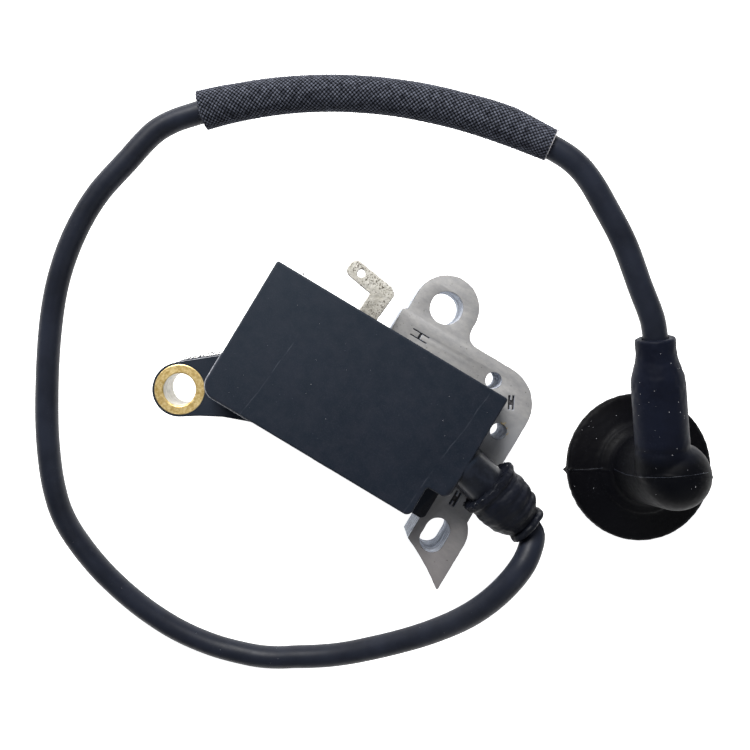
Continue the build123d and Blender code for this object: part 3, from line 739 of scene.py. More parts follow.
def core_outline():
    half = math.sqrt(0.5)
    neck = 2.7                              # fillet between lobe and yoke
    shoulder, shoulder_x, shoulder_y = 8.4, 18.85, -12.4
    leg_x, foot_x, inner_x = shoulder_x + shoulder, 29.15, 18.10
    tip = 0.3                               # fillet between yoke and leg
    hidden_r, hidden_x = 48.35, -7.85       # the pole under the block
    points = [
        (-LOBE_R, YOKE_TOP - 0.35),
        *arc((-LOBE_R, 0), (0, LOBE_R), (LOBE_R, 0), 60),
        *arc((LOBE_R, YOKE_TOP + neck),
             (LOBE_R + neck - neck * half, YOKE_TOP + neck - neck * half),
             (LOBE_R + neck, YOKE_TOP), 12),
        (LOBE_R + neck, YOKE_TOP),
        *arc((shoulder_x, YOKE_TOP),
             (shoulder_x + shoulder * half, shoulder_y + shoulder * half),
             (leg_x, shoulder_y), 30),
        (leg_x, shoulder_y),
        *arc((leg_x, -36.9), (28.55, -38.75), (foot_x, -41.0), 12),
        (foot_x, -41.0),
        *arc((foot_x, -51.95), (28.97, -52.30), pole(28.62), 6),
        *arc(pole(28.62), pole(23.4), pole(inner_x), 16),
        pole(inner_x),
        *arc((inner_x, YOKE_BOTTOM - tip),
             (inner_x - tip + tip * half, YOKE_BOTTOM - tip + tip * half),
             (inner_x - tip, YOKE_BOTTOM), 4),
        (inner_x - tip, YOKE_BOTTOM),
        (1.46, YOKE_BOTTOM),
        *arc(pole(1.45, hidden_r), pole(-3.2, hidden_r), pole(hidden_x, hidden_r), 14),
        pole(hidden_x, hidden_r),
        (hidden_x, YOKE_TOP - 0.75),
    ]
    # the hidden pole's corner is eased, so that it stays out of sight behind the block's edge
    return [(x, max(y, -42.22)) if x < 1.47 else (x, y) for x, y in points]


def circle(centre, radius, sides):
    return [(centre[0] + radius * math.cos(2 * math.pi * i / sides),
             centre[1] + radius * math.sin(2 * math.pi * i / sides)) for i in range(sides)]


def slot_path(steps=22):
    """Slot with round ends, long in y."""
    reach = SLOT_LENGTH / 2 - SLOT_R
    points = []
    for start, shift in ((0.0, reach), (math.pi, -reach)):
        for i in range(steps + 1):
            angle = start + math.pi * i / steps
            points.append((SLOT_AT[0] + SLOT_R * math.cos(angle),
                           SLOT_AT[1] + shift + SLOT_R * math.sin(angle)))
    return points


# clinch marks, each two slits joined by a bar: x, y, turn in degrees, size, line weight
CLINCHES = ((-1.80, -8.02, 0, 1.0, 1.0), (22.14, -10.15, -62, 0.78, 1.9),
            (22.44, -33.80, 90, 0.84, 2.0))
OUTLINE = core_outline()
WINDOWS = [circle((0, 0), HOLE_R, 64), circle(RIVET_A, RIVET_R, 40),
           circle(RIVET_B, RIVET_R, 40), slot_path()]


def placed(u, v, x, y, degrees):
    """Local (u, v) turned and moved to (x, y)."""
    angle = math.radians(degrees)
    return (x + u * math.cos(angle) - v * math.sin(angle),
            y + u * math.sin(angle) + v * math.cos(angle))


def clinch_gap(size):
    """From the mark's centre to the far edge of a slit."""
    return 0.80 * max(size, 0.85)


def clinch_outline(x, y, degrees, size, weight):
    long, gap = 2.0 * size, clinch_gap(size)
    near, bar = gap - 0.26 * weight, 0.30 * weight
    points = [(-long, gap), (-long, near), (-bar, near), (-bar, -near), (-long, -near),
              (-long, -gap), (long, -gap), (long, -near), (bar, -near), (bar, near),
              (long, near), (long, gap)]
    return [placed(u, v, x, y, degrees) for u, v in points]


def sheet(loops, z, half, jitter, seed):
    """One sheet's mesh; its cut edges are slightly rough."""
    bevel, rough = 0.05, 0.012
    draw = random.Random(seed).uniform
    curve = bpy.data.curves.new("sheet", "CURVE")
    curve.dimensions = "2D"
    curve.fill_mode = "BOTH"
    curve.extrude = (half - bevel) * MM
    curve.bevel_depth = bevel * MM
    curve.bevel_resolution = 1
    curve.offset = -bevel * MM
    for loop in loops:
        line = curve.splines.new("POLY")
        line.points.add(len(loop) - 1)
        for point, (x, y) in zip(line.points, loop):
            point.co = ((x + jitter[0] + draw(-rough, rough)) * MM,
                        (y + jitter[1] + draw(-rough, rough)) * MM, 0, 1)
        line.use_cyclic_u = True
    ob = bpy.data.objects.new("sheet", curve)
    bpy.context.scene.collection.objects.link(ob)
    ob.location.z = z * MM
    depsgraph = bpy.context.evaluated_depsgraph_get()
    depsgraph.update()
    mesh = bpy.data.meshes.new_from_object(ob.evaluated_get(depsgraph))
    mesh.transform(ob.matrix_world)
    bpy.data.objects.remove(ob)
    return mesh


def build_laminations():
    shift = 0.035           # inner sheets are stacked a little askew
    bm = bmesh.new()
    for i in range(SHEETS):
        loops = [OUTLINE] + WINDOWS
        if i >= SHEETS - 2:
            loops += [clinch_outline(*clinch) for clinch in CLINCHES]
        jitter = (0, 0)
        if 0 < i < SHEETS - 1:
            jitter = (rng.uniform(-shift, shift), rng.uniform(-shift, shift))
        half = 0.235 if i < SHEETS - 1 else 0.25
        layer = sheet(loops, (i + 0.5) * STACK / SHEETS, half, jitter, seed=i)
        bm.from_mesh(layer)
        bpy.data.meshes.remove(layer)
    bmesh.ops.remove_doubles(bm, verts=bm.verts, dist=2e-8)
    mesh = bpy.data.meshes.new("lamination_sheets")
    bm.to_mesh(mesh)
    bm.free()
    sheets = dress("lamination_sheets", mesh, "silicon_steel", "module", angle=30)
    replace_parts(sheets, "core_laminations")


def build_clinch_floors():
    """Dark, uneven strips under the slits and bars of the clinch marks."""
    steps, depth = 8, 0.25
    top, top_faces = [], []
    for x, y, degrees, size, weight in CLINCHES:
        offset = clinch_gap(size) - 0.13 * weight
        slit = (2.0 * size, 0.14 * weight, 10.30)
        for centre, half_u, half_v, level in (
                (offset, *slit), (-offset, *slit), (0, 0.32 * weight, offset - 0.05, 10.42)):
            first = len(top)
            for i in range(steps + 1):
                for side in (-1, 1):
                    u, v = -half_u + 2 * half_u * i / steps, centre + side * half_v
                    z = level + 0.12 * noise3(u + x, v + y, 3.0)
                    top.append((*placed(u, v, x, y, degrees), z))
            for i in range(steps):
                k = first + 2 * i
                top_faces.append((k, k + 2, k + 3, k + 1))
    count = len(top)
    rim = {}                # edges used by one face only, in order
    for face in top_faces:
        for a, b in zip(face, face[1:] + face[:1]):
            if (b, a) in rim:
                rim.pop((b, a))
            else:
                rim[(a, b)] = True
    verts = top + [(x, y, z - depth) for x, y, z in top]
    faces = top_faces + [tuple(i + count for i in face[::-1]) for face in top_faces]
    faces += [(b, a, a + count, b + count) for a, b in rim]
    new_object("clinch_floors", verts, faces, "pit_dark", "module", "silicon_steel")


def build_burrs():
    """Dark burr along the top sheet's cut edges, where the block does not cover them: partly a
    real burr, partly painted shade along the edge.
    """
    for tag, loop in zip(("outline", "hole", "rivet_a", "rivet_b", "slot"),
                         [OUTLINE] + WINDOWS):
        runs = [[]]
        for x, y in resample(loop + [loop[0]], 0.35):
            if x < 16.9 and y < -9.4:
                runs.append([])
            else:
                runs[-1].append((x, y, STACK - 0.035))
        parts = []
        for run in runs:
            if len(run) < 4:
                continue
            points = np.array(run)
            tangents = np.gradient(points, axis=0)
            tangents /= np.linalg.norm(tangents, axis=1)[:, None]
            radii = [max(0.006, 0.030 + 0.050 * noise3(*(p * 0.9)) + 0.02 * noise3(*(p * 5.0)))
                     for p in points]
            parts.append(tube(points, tangents, radii, 6, np.cross(tangents, (0, 0, 1.0))))
        new_object("burr_" + tag, *merged(parts), "burr_dark", "module", "silicon_steel",
                   angle=60)


# ---------------------------------------------------------------- bushing and terminal
def build_bushing():
    # (height, radius) round the section: foot, bore, ringed top face, outer wall
    profile = [(0.25, BUSHING_R), (0.0, 5.20), (0.0, 3.70), (0.2, BORE_R)]
    profile += [(0.5 + i, BORE_R) for i in range(10)]
    profile += [(10.72, BORE_R), (10.92, 3.58), (STACK, 3.72)]
    profile += [(STACK - 0.012 * (i % 2), 3.80 + i * 0.1) for i in range(14)]
    profile += [(STACK, 5.22), (10.94, 5.34), (10.80, BUSHING_R), (10.0, BUSHING_R),
                (5.0, BUSHING_R), (1.0, BUSHING_R)]

    def shape(index, along, angle, radius):
        if 2 < index < len(profile) - 6 and along > 10.5:
            lump = noise3(math.cos(angle) * radius, math.sin(angle) * radius, along)
            return along + 0.02 * lump, radius
        return along, radius

    verts, faces = turned(np.array((*BUSHING_AT, 0)), np.array((0, 0, 1)), profile, 120, shape)
    ob = new_object("bushing_turned", verts, faces, "bushing_brass", "module", angle=30)
    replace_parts(ob, "mount_bushing")


def build_terminal():
    """Stop terminal, lumpy with tinning except at its -y end."""
    mesh = voxelled("terminal_tab", "kill_terminal", 0.13, 3)
    places, normals = read_verts(mesh)
    lumps = np.array([0.045 * noise3(*(p * 1.3)) + 0.03 * noise3(*(p * 4.0)) for p in places])
    lumps[places[:, 1] < -10.4] = 0
    write_verts(mesh, places + normals * lumps[:, None])
    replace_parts(dress("terminal_tab", mesh, "tinned_brass", "module", angle=0),
                "kill_terminal")


# ---------------------------------------------------------------- strain relief
# (along the stub, radius): torn rim, barrel, neck and lumpy ring, then back down the bore
RELIEF_OUTER = resample([
    (0.05, 4.75), (0.0, 5.9), (0.3, 6.4), (1.5, 6.4), (2.1, 5.95), (4.5, 6.02), (7.0, 5.8),
    (9.6, 5.0), (10.9, 3.8), (11.2, 3.55), (11.4, 4.1), (11.8, 4.3), (12.3, 4.3),
    (12.55, 4.05), (12.6, 3.2)], 0.22)
RELIEF_INNER = [(12.5, 2.56), (6.7, 2.56), (6.64, 4.62), (0.3, 4.62)]
RELIEF_START = 6.0                              # from STUB_AT
RELIEF_SIDE = np.array((0.2267, 0.974, 0.0))    # the barrel bulges to this side
STUB_ACROSS = across(STUB_DIR)


def stub_radial(angle):
    return STUB_ACROSS[0] * math.cos(angle) + STUB_ACROSS[1] * math.sin(angle)


def relief_shape(index, along, angle, radius):
    if index >= len(RELIEF_OUTER):
        return along, radius
    cos, sin = math.cos(angle), math.sin(angle)
    place = np.array((cos * 1.6, sin * 1.6, along * 0.5))
    start = along
    radius += 0.16 * noise3(*(place * 1.2)) + 0.09 * noise3(*(place * 4.0))
    # two wandering grooves
    radius -= 0.16 * falloff(start - 2.9 - 0.35 * math.sin(angle * 2 + 0.5), 0.45)
    radius -= 0.12 * falloff(start - 8.3 - 0.5 * math.sin(angle + 1.0), 0.5)
    if start < 2.0:                             # torn, frayed rim
        jag = noise3(cos * 5.5, sin * 5.5, 4.0)
        fine = noise3(cos * 14, sin * 14, 9.0 + start)
        weight = (2.0 - start) / 2.0
        along += weight * (0.45 * jag + 0.22 * fine) + 0.15 * weight
        radius += weight * (0.26 * fine + 0.24 * jag) + 0.10 * weight
    elif start > 11.1:                          # lumpy ring
        radius += 0.34 * noise3(cos * 2.4, sin * 2.4, 17.0 + start * 0.3) + 0.08
        along += 0.25 * noise3(cos * 1.7, sin * 1.7, 31.0)
    elif 5.0 < start < 11.0:                    # soft folds where the rubber pulls in
        radius += 0.12 * math.sin((start - 5) * 2.4 + 1.3 * math.sin(angle + 0.6))
    bulge = max(0.0, float(np.dot(stub_radial(angle), RELIEF_SIDE)))
    radius += 0.30 * bulge * min(1.0, max(0.0, (11.0 - start) / 2.0))
    return along, max(radius, 2.75)


def build_relief():
    verts, faces = turned(STUB_AT + STUB_DIR * RELIEF_START, STUB_DIR,
                          RELIEF_OUTER + RELIEF_INNER, 132, relief_shape)
    verts[(verts[:, 0] < 27.6) & (verts[:, 2] < 11.07), 2] = 11.07   # rests on the stack
    high = verts[:, 2] > 22.0                   # the torn rim stays under the model's height
    verts[high, 2] = 22.0 + 0.27 * np.tanh((verts[high, 2] - 22.0) / 0.27)
    ob = new_object("relief_sleeve", verts, faces, "relief_rubber", "module", angle=50)
    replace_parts(ob, "strain_relief")
    spots = []
    for _ in range(46):
        radial = stub_radial(rng.uniform(0, 6.283))
        along = RELIEF_START + abs(rng.gauss(0.15, 0.5))
        spot = STUB_AT + STUB_DIR * along + radial * (6.25 + rng.uniform(-0.15, 0.25))
        if spot[2] > 12.0:
            spots.append(spot)
    split = len(spots) * 2 // 3
    grains("relief_crumbs_dark", spots[:split], (0.12, 0.34), "dark_grain", "module", 3, 0.9)
    grains("relief_crumbs_pale", spots[split:], (0.06, 0.13), "pale_grain", "module", 4, 0.9)


# ---------------------------------------------------------------- lead
LEAD_R = 2.5
# x, y, z of stations on the lead's axis, from the stub to the boot
LEAD = [
    (19.924, -26.426, 15.9), (25.768, -27.786, 15.9), (31.612, -29.146, 15.9),
    (37.456, -30.506, 15.9), (38.788, -31.256, 16.019), (39.427, -32.614, 16.387),
    (39.666, -34.063, 16.913), (39.779, -35.505, 17.5), (39.78, -37.0, 17.942),
    (39.712, -38.55, 18.09), (39.62, -40.1, 17.95), (39.178, -44.445, 16.764),
    (38.51, -48.532, 14.929), (37.593, -52.402, 12.756), (36.344, -56.103, 10.46),
    (34.756, -59.698, 8.203), (32.842, -63.237, 6.116), (30.638, -66.71, 4.215),
    (28.188, -70.105, 2.478), (25.548, -73.426, 0.882), (22.759, -76.681, -0.59),
    (19.744, -79.796, -1.911), (16.427, -82.666, -3.047), (12.916, -85.35, -4.055),
    (9.427, -88.067, -5.047), (5.589, -90.318, -5.801), (1.42, -92.02, -6.32),
    (-2.94, -93.467, -6.726), (-7.431, -94.486, -6.962), (-12.005, -95.072, -7.054),
    (-16.614, -95.233, -7.026), (-21.218, -94.988, -6.895), (-25.781, -94.372, -6.627),
    (-30.27, -93.429, -6.151), (-34.638, -92.141, -5.424), (-38.825, -90.465, -4.458),
    (-42.813, -88.449, -3.319), (-46.624, -86.16, -2.088), (-50.134, -83.405, -0.938),
    (-53.27, -80.14, -0.06), (-56.032, -76.776, 0.636), (-58.58, -73.224, 1.211),
    (-60.989, -69.556, 1.638), (-63.291, -65.809, 1.944), (-65.492, -61.996, 2.189),
    (-67.596, -58.129, 2.431), (-69.598, -54.212, 2.734), (-71.482, -50.246, 3.133),
    (-73.207, -46.215, 3.595), (-74.724, -42.104, 4.081), (-75.984, -37.907, 4.565),
    (-76.937, -33.628, 5.02), (-77.571, -29.285, 5.435), (-77.901, -24.905, 5.807),
    (-77.891, -20.51, 6.151), (-77.426, -16.143, 6.51), (-76.51, -11.847, 6.886),
    (-75.491, -7.567, 7.172), (-74.649, -3.241, 7.279), (-73.413, 0.982, 7.398),
    (-71.099, 4.691, 7.789), (-68.13, 7.929, 8.357), (-65.021, 11.032, 8.927),
    (-61.778, 13.995, 9.5), (-58.407, 16.812, 10.073), (-54.915, 19.477, 10.646),
    (-51.309, 21.985, 11.218), (-47.596, 24.332, 11.787), (-43.782, 26.513, 12.353),
    (-39.875, 28.524, 12.914), (-35.882, 30.361, 13.469), (-31.812, 32.02, 14.018),
    (-27.671, 33.499, 14.558), (-23.468, 34.794, 15.09), (-19.211, 35.903, 15.612),
    (-14.909, 36.824, 16.123), (-10.568, 37.554, 16.623), (-6.198, 38.094, 17.109),
    (-1.807, 38.441, 17.582), (2.596, 38.595, 18.04), (5.239, 38.429, 18.245),
    (7.836, 37.875, 18.323), (10.341, 36.991, 18.296), (12.748, 35.866, 18.199),
    (15.083, 34.601, 18.078), (17.4, 33.3, 17.98), (19.522, 32.108, 17.911),
    (21.612, 30.86, 17.827), (23.651, 29.533, 17.729), (25.62, 28.105, 17.62),
    (27.532, 26.6, 17.509), (29.418, 25.063, 17.408), (31.315, 23.538, 17.327),
    (33.249, 22.06, 17.276), (35.192, 20.593, 17.22), (37.056, 19.033, 17.089),
    (38.714, 17.277, 16.798), (42.694, 12.266, 15.729), (46.673, 7.254, 14.661),
    (50.653, 2.243, 13.592), (54.633, -2.768, 12.523),
]
# middle of each flexing stretch, and its half length in rings
FLEXES = (((39.62, -40.10, 17.95), 8), ((-53.27, -80.14, -0.06), 14),
          ((17.40, 33.30, 17.98), 9))
# object, bodies it rides (two are listed where it would bend between them; such a piece rides
# neither), CAD piece it replaces
LEAD_RUNS = (
    ("lead_root", ("module",), "lead_jacket_root"),
    ("lead_flex_a", ("module", "lead_lower"), None),
    ("lead_lower_run", ("lead_lower",), "lead_jacket_lower"),
    ("lead_flex_b", ("lead_lower", "lead_upper"), None),
    ("lead_upper_run", ("lead_upper",), "lead_jacket_upper"),
    ("lead_flex_c", ("lead_upper", "lead_end"), None),
    ("lead_end_run", ("lead_end",), "lead_jacket_end"),
)


def build_lead():
    """One smooth run, cut at the flexing stretches, with a little dust."""
    sides = 44
    path, tangents = spline(LEAD, 0.62)
    normals = carried_normals(tangents)
    round_ = [np.array((math.cos(a), math.sin(a), 0.0)) * 0.8 for a in ring_angles(sides)]
    radii = [[LEAD_R + 0.05 * noise3(*(point * 0.12 + offset)) for offset in round_]
             for point in path]
    rings = tube_rings(path, tangents, normals, radii, sides)
    for ring in rings:
        ring[:, 2] = np.maximum(ring[:, 2], cad_low[2] / MM + 0.005)

    cuts = [0]
    for middle, half in FLEXES:
        ring = int(np.argmin(np.linalg.norm(path - np.array(middle), axis=1)))
        cuts += [ring - half, ring + half]
    cuts.append(len(path) - 1)
    made = []
    for (name, bodies, piece), first, last in zip(LEAD_RUNS, cuts, cuts[1:]):
        body = bodies[0] if len(bodies) == 1 else None
        ob = new_object(name, *skin(rings[first:last + 1]), "lead_rubber", body, angle=50)
        if body is None:
            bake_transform(ob)
        made.append((ob, piece))
    for ob, piece in made:
        if piece:
            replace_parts(ob, piece)

    binormals = np.cross(tangents, normals)
    spots = []
    for _ in range(26):
        k = rng.randrange(cuts[2] + 4, cuts[3] - 4)
        angle = rng.uniform(0, 6.283)
        outward = normals[k] * math.cos(angle) + binormals[k] * math.sin(angle)
        if outward[2] > 0.2:
            spots.append(path[k] + outward * LEAD_R)
    grains("lead_dust", spots, (0.04, 0.09), "pale_grain", "lead_lower", 5, 0.5)


# ---------------------------------------------------------------- woven sleeve
# the sleeve follows a circle in space, from its -x end to its +x end
ARC_CENTRE = np.array((4.7380, -62.2071, 9.9389))
ARC_NORMAL = unit(np.array((0.10028, 0.08182, -0.99159)))
ARC_R = 101.15
ARC_U = np.array((0.0, 1.0, 0.0))
ARC_U = unit(ARC_U - ARC_NORMAL * np.dot(ARC_U, ARC_NORMAL))
ARC_V = np.cross(ARC_NORMAL, ARC_U)


def arc_angle(point):
    offset = np.asarray(point) - ARC_CENTRE
    offset = offset - ARC_NORMAL * np.dot(offset, ARC_NORMAL)
    return math.atan2(np.dot(offset, ARC_V), np.dot(offset, ARC_U))


ARC_START, ARC_END = arc_angle((-66.14, 9.15, 8.67)), arc_angle((0.57, 38.37, 17.82))
SLEEVE = abs(ARC_END - ARC_START) * ARC_R       # length
ARC_SIGN = 1.0 if ARC_END > ARC_START else -1.0
STIFF = 10.0                # the last stretch lies straighter than the lead inside it


def sleeve_frame(s):
    """Centre, tangent, outward radial and binormal of the sleeve at s from its -x end."""
    angle = ARC_START + ARC_SIGN * min(s, SLEEVE - STIFF) / ARC_R
    radial = ARC_U * math.cos(angle) + ARC_V * math.sin(angle)
    tangent = (-ARC_U * math.sin(angle) + ARC_V * math.cos(angle)) * ARC_SIGN
    beyond = max(0.0, s - (SLEEVE - STIFF))
    drop = beyond * beyond / (2 * ARC_R) * 0.35
    centre = ARC_CENTRE + radial * ARC_R + tangent * beyond - radial * drop
    return centre, tangent, radial, np.cross(tangent, radial)


def sleeve_radius(s):
    """Outer radius: full at the -x end, drawn in towards the +x end."""
    return np.interp(np.asarray(s) / SLEEVE, (0.0, 0.1, 0.3, 0.7, 0.86, 0.95, 1.0),
                     (4.06, 3.98, 3.86, 3.86, 3.66, 3.44, 3.32))


def sleeve_flare(s, angle):
    """The cloth stands off outwards at the -x mouth, and where the +x end is straight."""
    reach = np.interp(np.asarray(s) / SLEEVE, (0.0, 0.12, 0.5, 0.72, 0.875, 1.0),
                      (0.50, 0.12, 0.0, 0.08, 0.70, 0.0))
    return reach * np.maximum(0, np.cos(angle)) ** 1.5


def build_strands():
    """Strands wound both ways, passing over and under each other."""
    count = 25                          # strands each way
    rise, width, thick = 0.105, 0.58, 0.13
    twist = 1.0 / 3.6                   # radians per mm
    # across a strand: share of width, share of thickness, share of lift (the lift sets the
    # painted shade, darker at the edges)
    section = ((-0.5, -0.5, 0.30), (-0.30, 0.75, 0.80), (0.0, 1.25, 1.0),
               (0.30, 0.75, 0.80), (0.5, -0.5, 0.30))
    size = len(section)
    stations = np.arange(0.0, SLEEVE + 1e-6, math.pi / (twist * count) / 2.6)
    centres, tangents, radials, binormals = (
        np.array(part) for part in zip(*(sleeve_frame(s) for s in stations)))
    middle_r = sleeve_radius(stations) - 0.27
    verts, faces, lifts = [], [], []
    base = 0
    for hand in (1, -1):
        for i in range(count):
            turn = 2 * math.pi * i / count + hand * twist * stations
            crossing = i + hand * 2 * twist * stations * count / (2 * math.pi)
            over = np.cos(math.pi * (crossing + i)) * hand
            height = rise * over + 0.02 * np.sin(stations * 1.7 + i * 2.1)
            height = height + 0.015 * np.sin(stations * 0.61 + i * hand)
            lines = []
            for share, raised, _ in section:
                # a strand's width runs half along the tube, half round it
                offset = share * width * math.sqrt(0.5)
                angle = turn + offset / middle_r
                radius = middle_r + height + raised * thick + sleeve_flare(stations, angle)
                outward = (radials * np.cos(angle)[:, None]
                           + binormals * np.sin(angle)[:, None])
                lines.append(centres - tangents * offset * hand + outward * radius[:, None])
            verts.append(np.stack(lines, 1).reshape(-1, 3))
            # the lift attribute drives the painted shade of the woven_sleeve material
            lifts.append(np.outer(0.5 + 0.5 * over, [lift for _, _, lift in section]).ravel())
            last = (len(stations) - 1) * size
            index = base + np.arange(last).reshape(-1, size)
            for j in range(size):
                k = (j + 1) % size
                quads = np.stack([index[:, j], index[:, k], index[:, k] + size,
                                  index[:, j] + size], 1)
                faces.append(quads[:, ::hand])
            cap = np.array([[0, 1, 3, 4]]) + base
            faces.append(cap[:, ::-hand])
            faces.append((cap + last)[:, ::hand])
            base += last + size
    ob = new_object("sleeve_strands", np.concatenate(verts), np.concatenate(faces).tolist(),
                    "woven_sleeve", "sleeve", angle=0)
    lift = ob.data.attributes.new("lift", "FLOAT", "POINT")
    lift.data.foreach_set("value", np.concatenate(lifts).astype(np.float32))
    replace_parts(ob, "braided_sleeve")


def build_backing():
    """Dark liner under the strands."""
    angles = ring_angles(60)
    outer, inner = [], []
    for s in np.arange(0.12, SLEEVE - 0.1, 0.7):
        centre, _, radial, binormal = sleeve_frame(s)
        outward = np.cos(angles)[:, None] * radial + np.sin(angles)[:, None] * binormal
        radius = float(sleeve_radius(s)) + sleeve_flare(s, angles)[:, None]
        outer.append(centre + outward * (radius - 0.36))
        inner.append(centre + outward * (radius - 0.60))
    new_object("sleeve_backing", *skin(outer + inner[::-1], closed=True), "sleeve_liner",
               "sleeve", "woven_sleeve", angle=40)


def build_sleeve_end(tag, s, way, material):
    """A cut end of the cloth with short loose fibres; way is -1 at the -x end."""
    centre, tangent, radial, binormal = sleeve_frame(s)
    outside = float(sleeve_radius(s))

    def outward(angle):
        return radial * math.cos(angle) + binormal * math.sin(angle)

    rings = []
    for inset, beyond in ((0.60, -0.10), (0.58, 0.06), (0.30, 0.09), (0.06, 0.05),
                          (0.03, -0.08)):
        radius = outside - inset
        ring = []
        for angle in ring_angles(160):
            ragged = noise3(math.cos(angle) * 9, math.sin(angle) * 9, s + radius)
            reach = radius + float(sleeve_flare(s, angle)) + 0.03 * ragged
            ring.append(centre + tangent * way * (beyond + 0.09 * ragged)
                        + outward(angle) * reach)
        rings.append(np.array(ring))
    new_object("sleeve_cut_" + tag, *skin(rings, closed=True), material, "sleeve",
               "woven_sleeve", angle=60)

    fibres = []
    for _ in range(34):
        direction = outward(rng.uniform(0, 6.283))
        radius = rng.uniform(outside - 0.22, outside - 0.05)
        lean = (tangent * way * rng.uniform(0.25, 0.6) + direction * rng.uniform(0.05, 0.22)
                + np.cross(tangent, direction) * rng.uniform(-0.3, 0.3))
        points = [centre + direction * radius + lean * x for x in (-0.1, 0.3, 0.65, 0.9)]
        fibres.append(tube(points, np.array([unit(lean)] * 4), [0.03, 0.03, 0.025, 0.012], 5))
    new_object("sleeve_fray_" + tag, *merged(fibres), "loose_fibre", "sleeve",
               "woven_sleeve", angle=60)


# ---------------------------------------------------------------- plug boot
# the parting plane: flash nub on the flange, crown of the elbow, far side of the elbow
PARTING = [np.array(p) for p in ((45.1, -16.3, -8.0), (55.9, -6.9, 19.0), (68.6, -0.9, 6.0))]
# near the parting line, in order; each is dropped onto the skin along the camera's view
SEAMS = {
    "flange": ((45.3, -16.2, -8), (46.6, -15.64, -8), (49.16, -13.96, -8),
               (52.06, -11.94, -8), (53.09, -10.91, -8)),
    "elbow": ((49.31, -10.84, 8), (49.82, -10.85, 9), (50.56, -10.72, 12),
              (51.81, -9.82, 16), (53.51, -8.43, 18.5), (55.92, -6.89, 19),
              (60.07, -4.3, 17), (64.41, -2.15, 12), (67.6, -0.9, 7)),
}


def from_arm(places):
    """Distance along the arm's axis, and the vector away from it."""
    offset = places - BOOT_ROOT
    along = offset @ BOOT_ARM
    return along, offset - along[:, None] * BOOT_ARM


def carve_boot(places, normals):
    """Parting line, foot ring, crease and lumps, with the bore kept clear."""
    offset = places - BOOT_FOOT
    height = offset @ BOOT_UP
    radial = offset - height[:, None] * BOOT_UP
    radius = np.linalg.norm(radial, axis=1)
    plane = unit(np.cross(PARTING[1] - PARTING[0], PARTING[2] - PARTING[0]))
    off_plane = (places - PARTING[0]) @ plane
    along, away = from_arm(places)
    off_arm = np.linalg.norm(away, axis=1)
    off_ball = np.linalg.norm(places - BOOT_BALL, axis=1)
    on_arm = (along > 5.5) & (off_arm > 3.2) & (off_arm < 6.6)
    outside = (normals * radial).sum(1) > 0
    lump = np.array([noise3(*(p * 0.9)) for p in places])
    fine = np.array([noise3(*(p * 3.1)) for p in places])

    # parting line over flange, elbow and the flange's rim
    ridge = falloff(off_plane + 0.15 * np.sin(radius * 1.1), 0.38)
    rim = (radius > 16.3) & (height > -0.1)
    move = np.where((height > 1.2) & outside & ~on_arm, ridge * (0.14 + 0.10 * lump), 0)
    move += np.where(rim, ridge * 0.22, 0)
    # ring round the tower's foot
    at_foot = (height > 2.5) & (height < 5.6) & ~on_arm
    move += np.where(at_foot, falloff(radius - 10.1, 0.55) * 0.16, 0)
    # rubber is never quite even
    move += np.where(outside | on_arm, 0.030 * lump + 0.006 * fine, 0)
    move += np.where(rim, 0.06 * lump, 0)
    # shallow crease where the arm meets the elbow
    creased = (off_arm > 3.5) & (off_arm < 7.2) & (off_ball > 5.0) & (along > 3) & (height > 9)
    move -= np.where(creased, falloff(along - 6.3, 1.1) * 0.22, 0)
    places = places + normals * move[:, None]

    # nub of flash where the parting line leaves the flange
    nub = PARTING[0] + np.array((0.0, 0.0, 0.6))
    pull = falloff(np.linalg.norm(places - nub, axis=1), 1.1)
    outward = nub - BOOT_FOOT
    outward[2] = 0
    places += unit(outward) * (pull * 0.95)[:, None]

    # keep the arm's bore round and clear of the lead
    along, away = from_arm(places)
    distance = np.linalg.norm(away, axis=1)
    bore = (along > 3.6) & (distance < 3.0)
    grow = np.maximum(distance[bore], 2.60) / distance[bore] - 1
    places[bore] += away[bore] * grow[:, None]
    # the skin keeps to the model's own height
    places[:, 2] = np.clip(places[:, 2], cad_low[2] / MM + 0.004, cad_high[2] / MM - 0.004)
    return places


def build_boot():
    mesh = voxelled("boot_skin", "plug_boot", 0.30, 7)
    write_verts(mesh, carve_boot(*read_verts(mesh)))
    boot = dress("boot_skin", mesh, "boot_rubber", "boot", angle=0)
    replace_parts(boot, "plug_boot")

    places, normals = read_verts(mesh)
    along, away = from_arm(places)
    anywhere = list(np.where((normals[:, 2] > 0.25) & (places[:, 2] > -6)
                             & ((places - BOOT_BALL) @ BOOT_ARM > -8))[0])
    on_arm = list(np.where((normals[:, 2] > 0.3) & (along > 6)
                           & (np.linalg.norm(away, axis=1) > 3.6))[0])
    pick = random.Random(21).choice
    spots = [places[pick(anywhere)] for _ in range(26)]
    spots += [places[pick(on_arm)] for _ in range(20)]
    grains("boot_dust", spots, (0.05, 0.13), "pale_grain", "boot", 9, 0.5)
    return boot


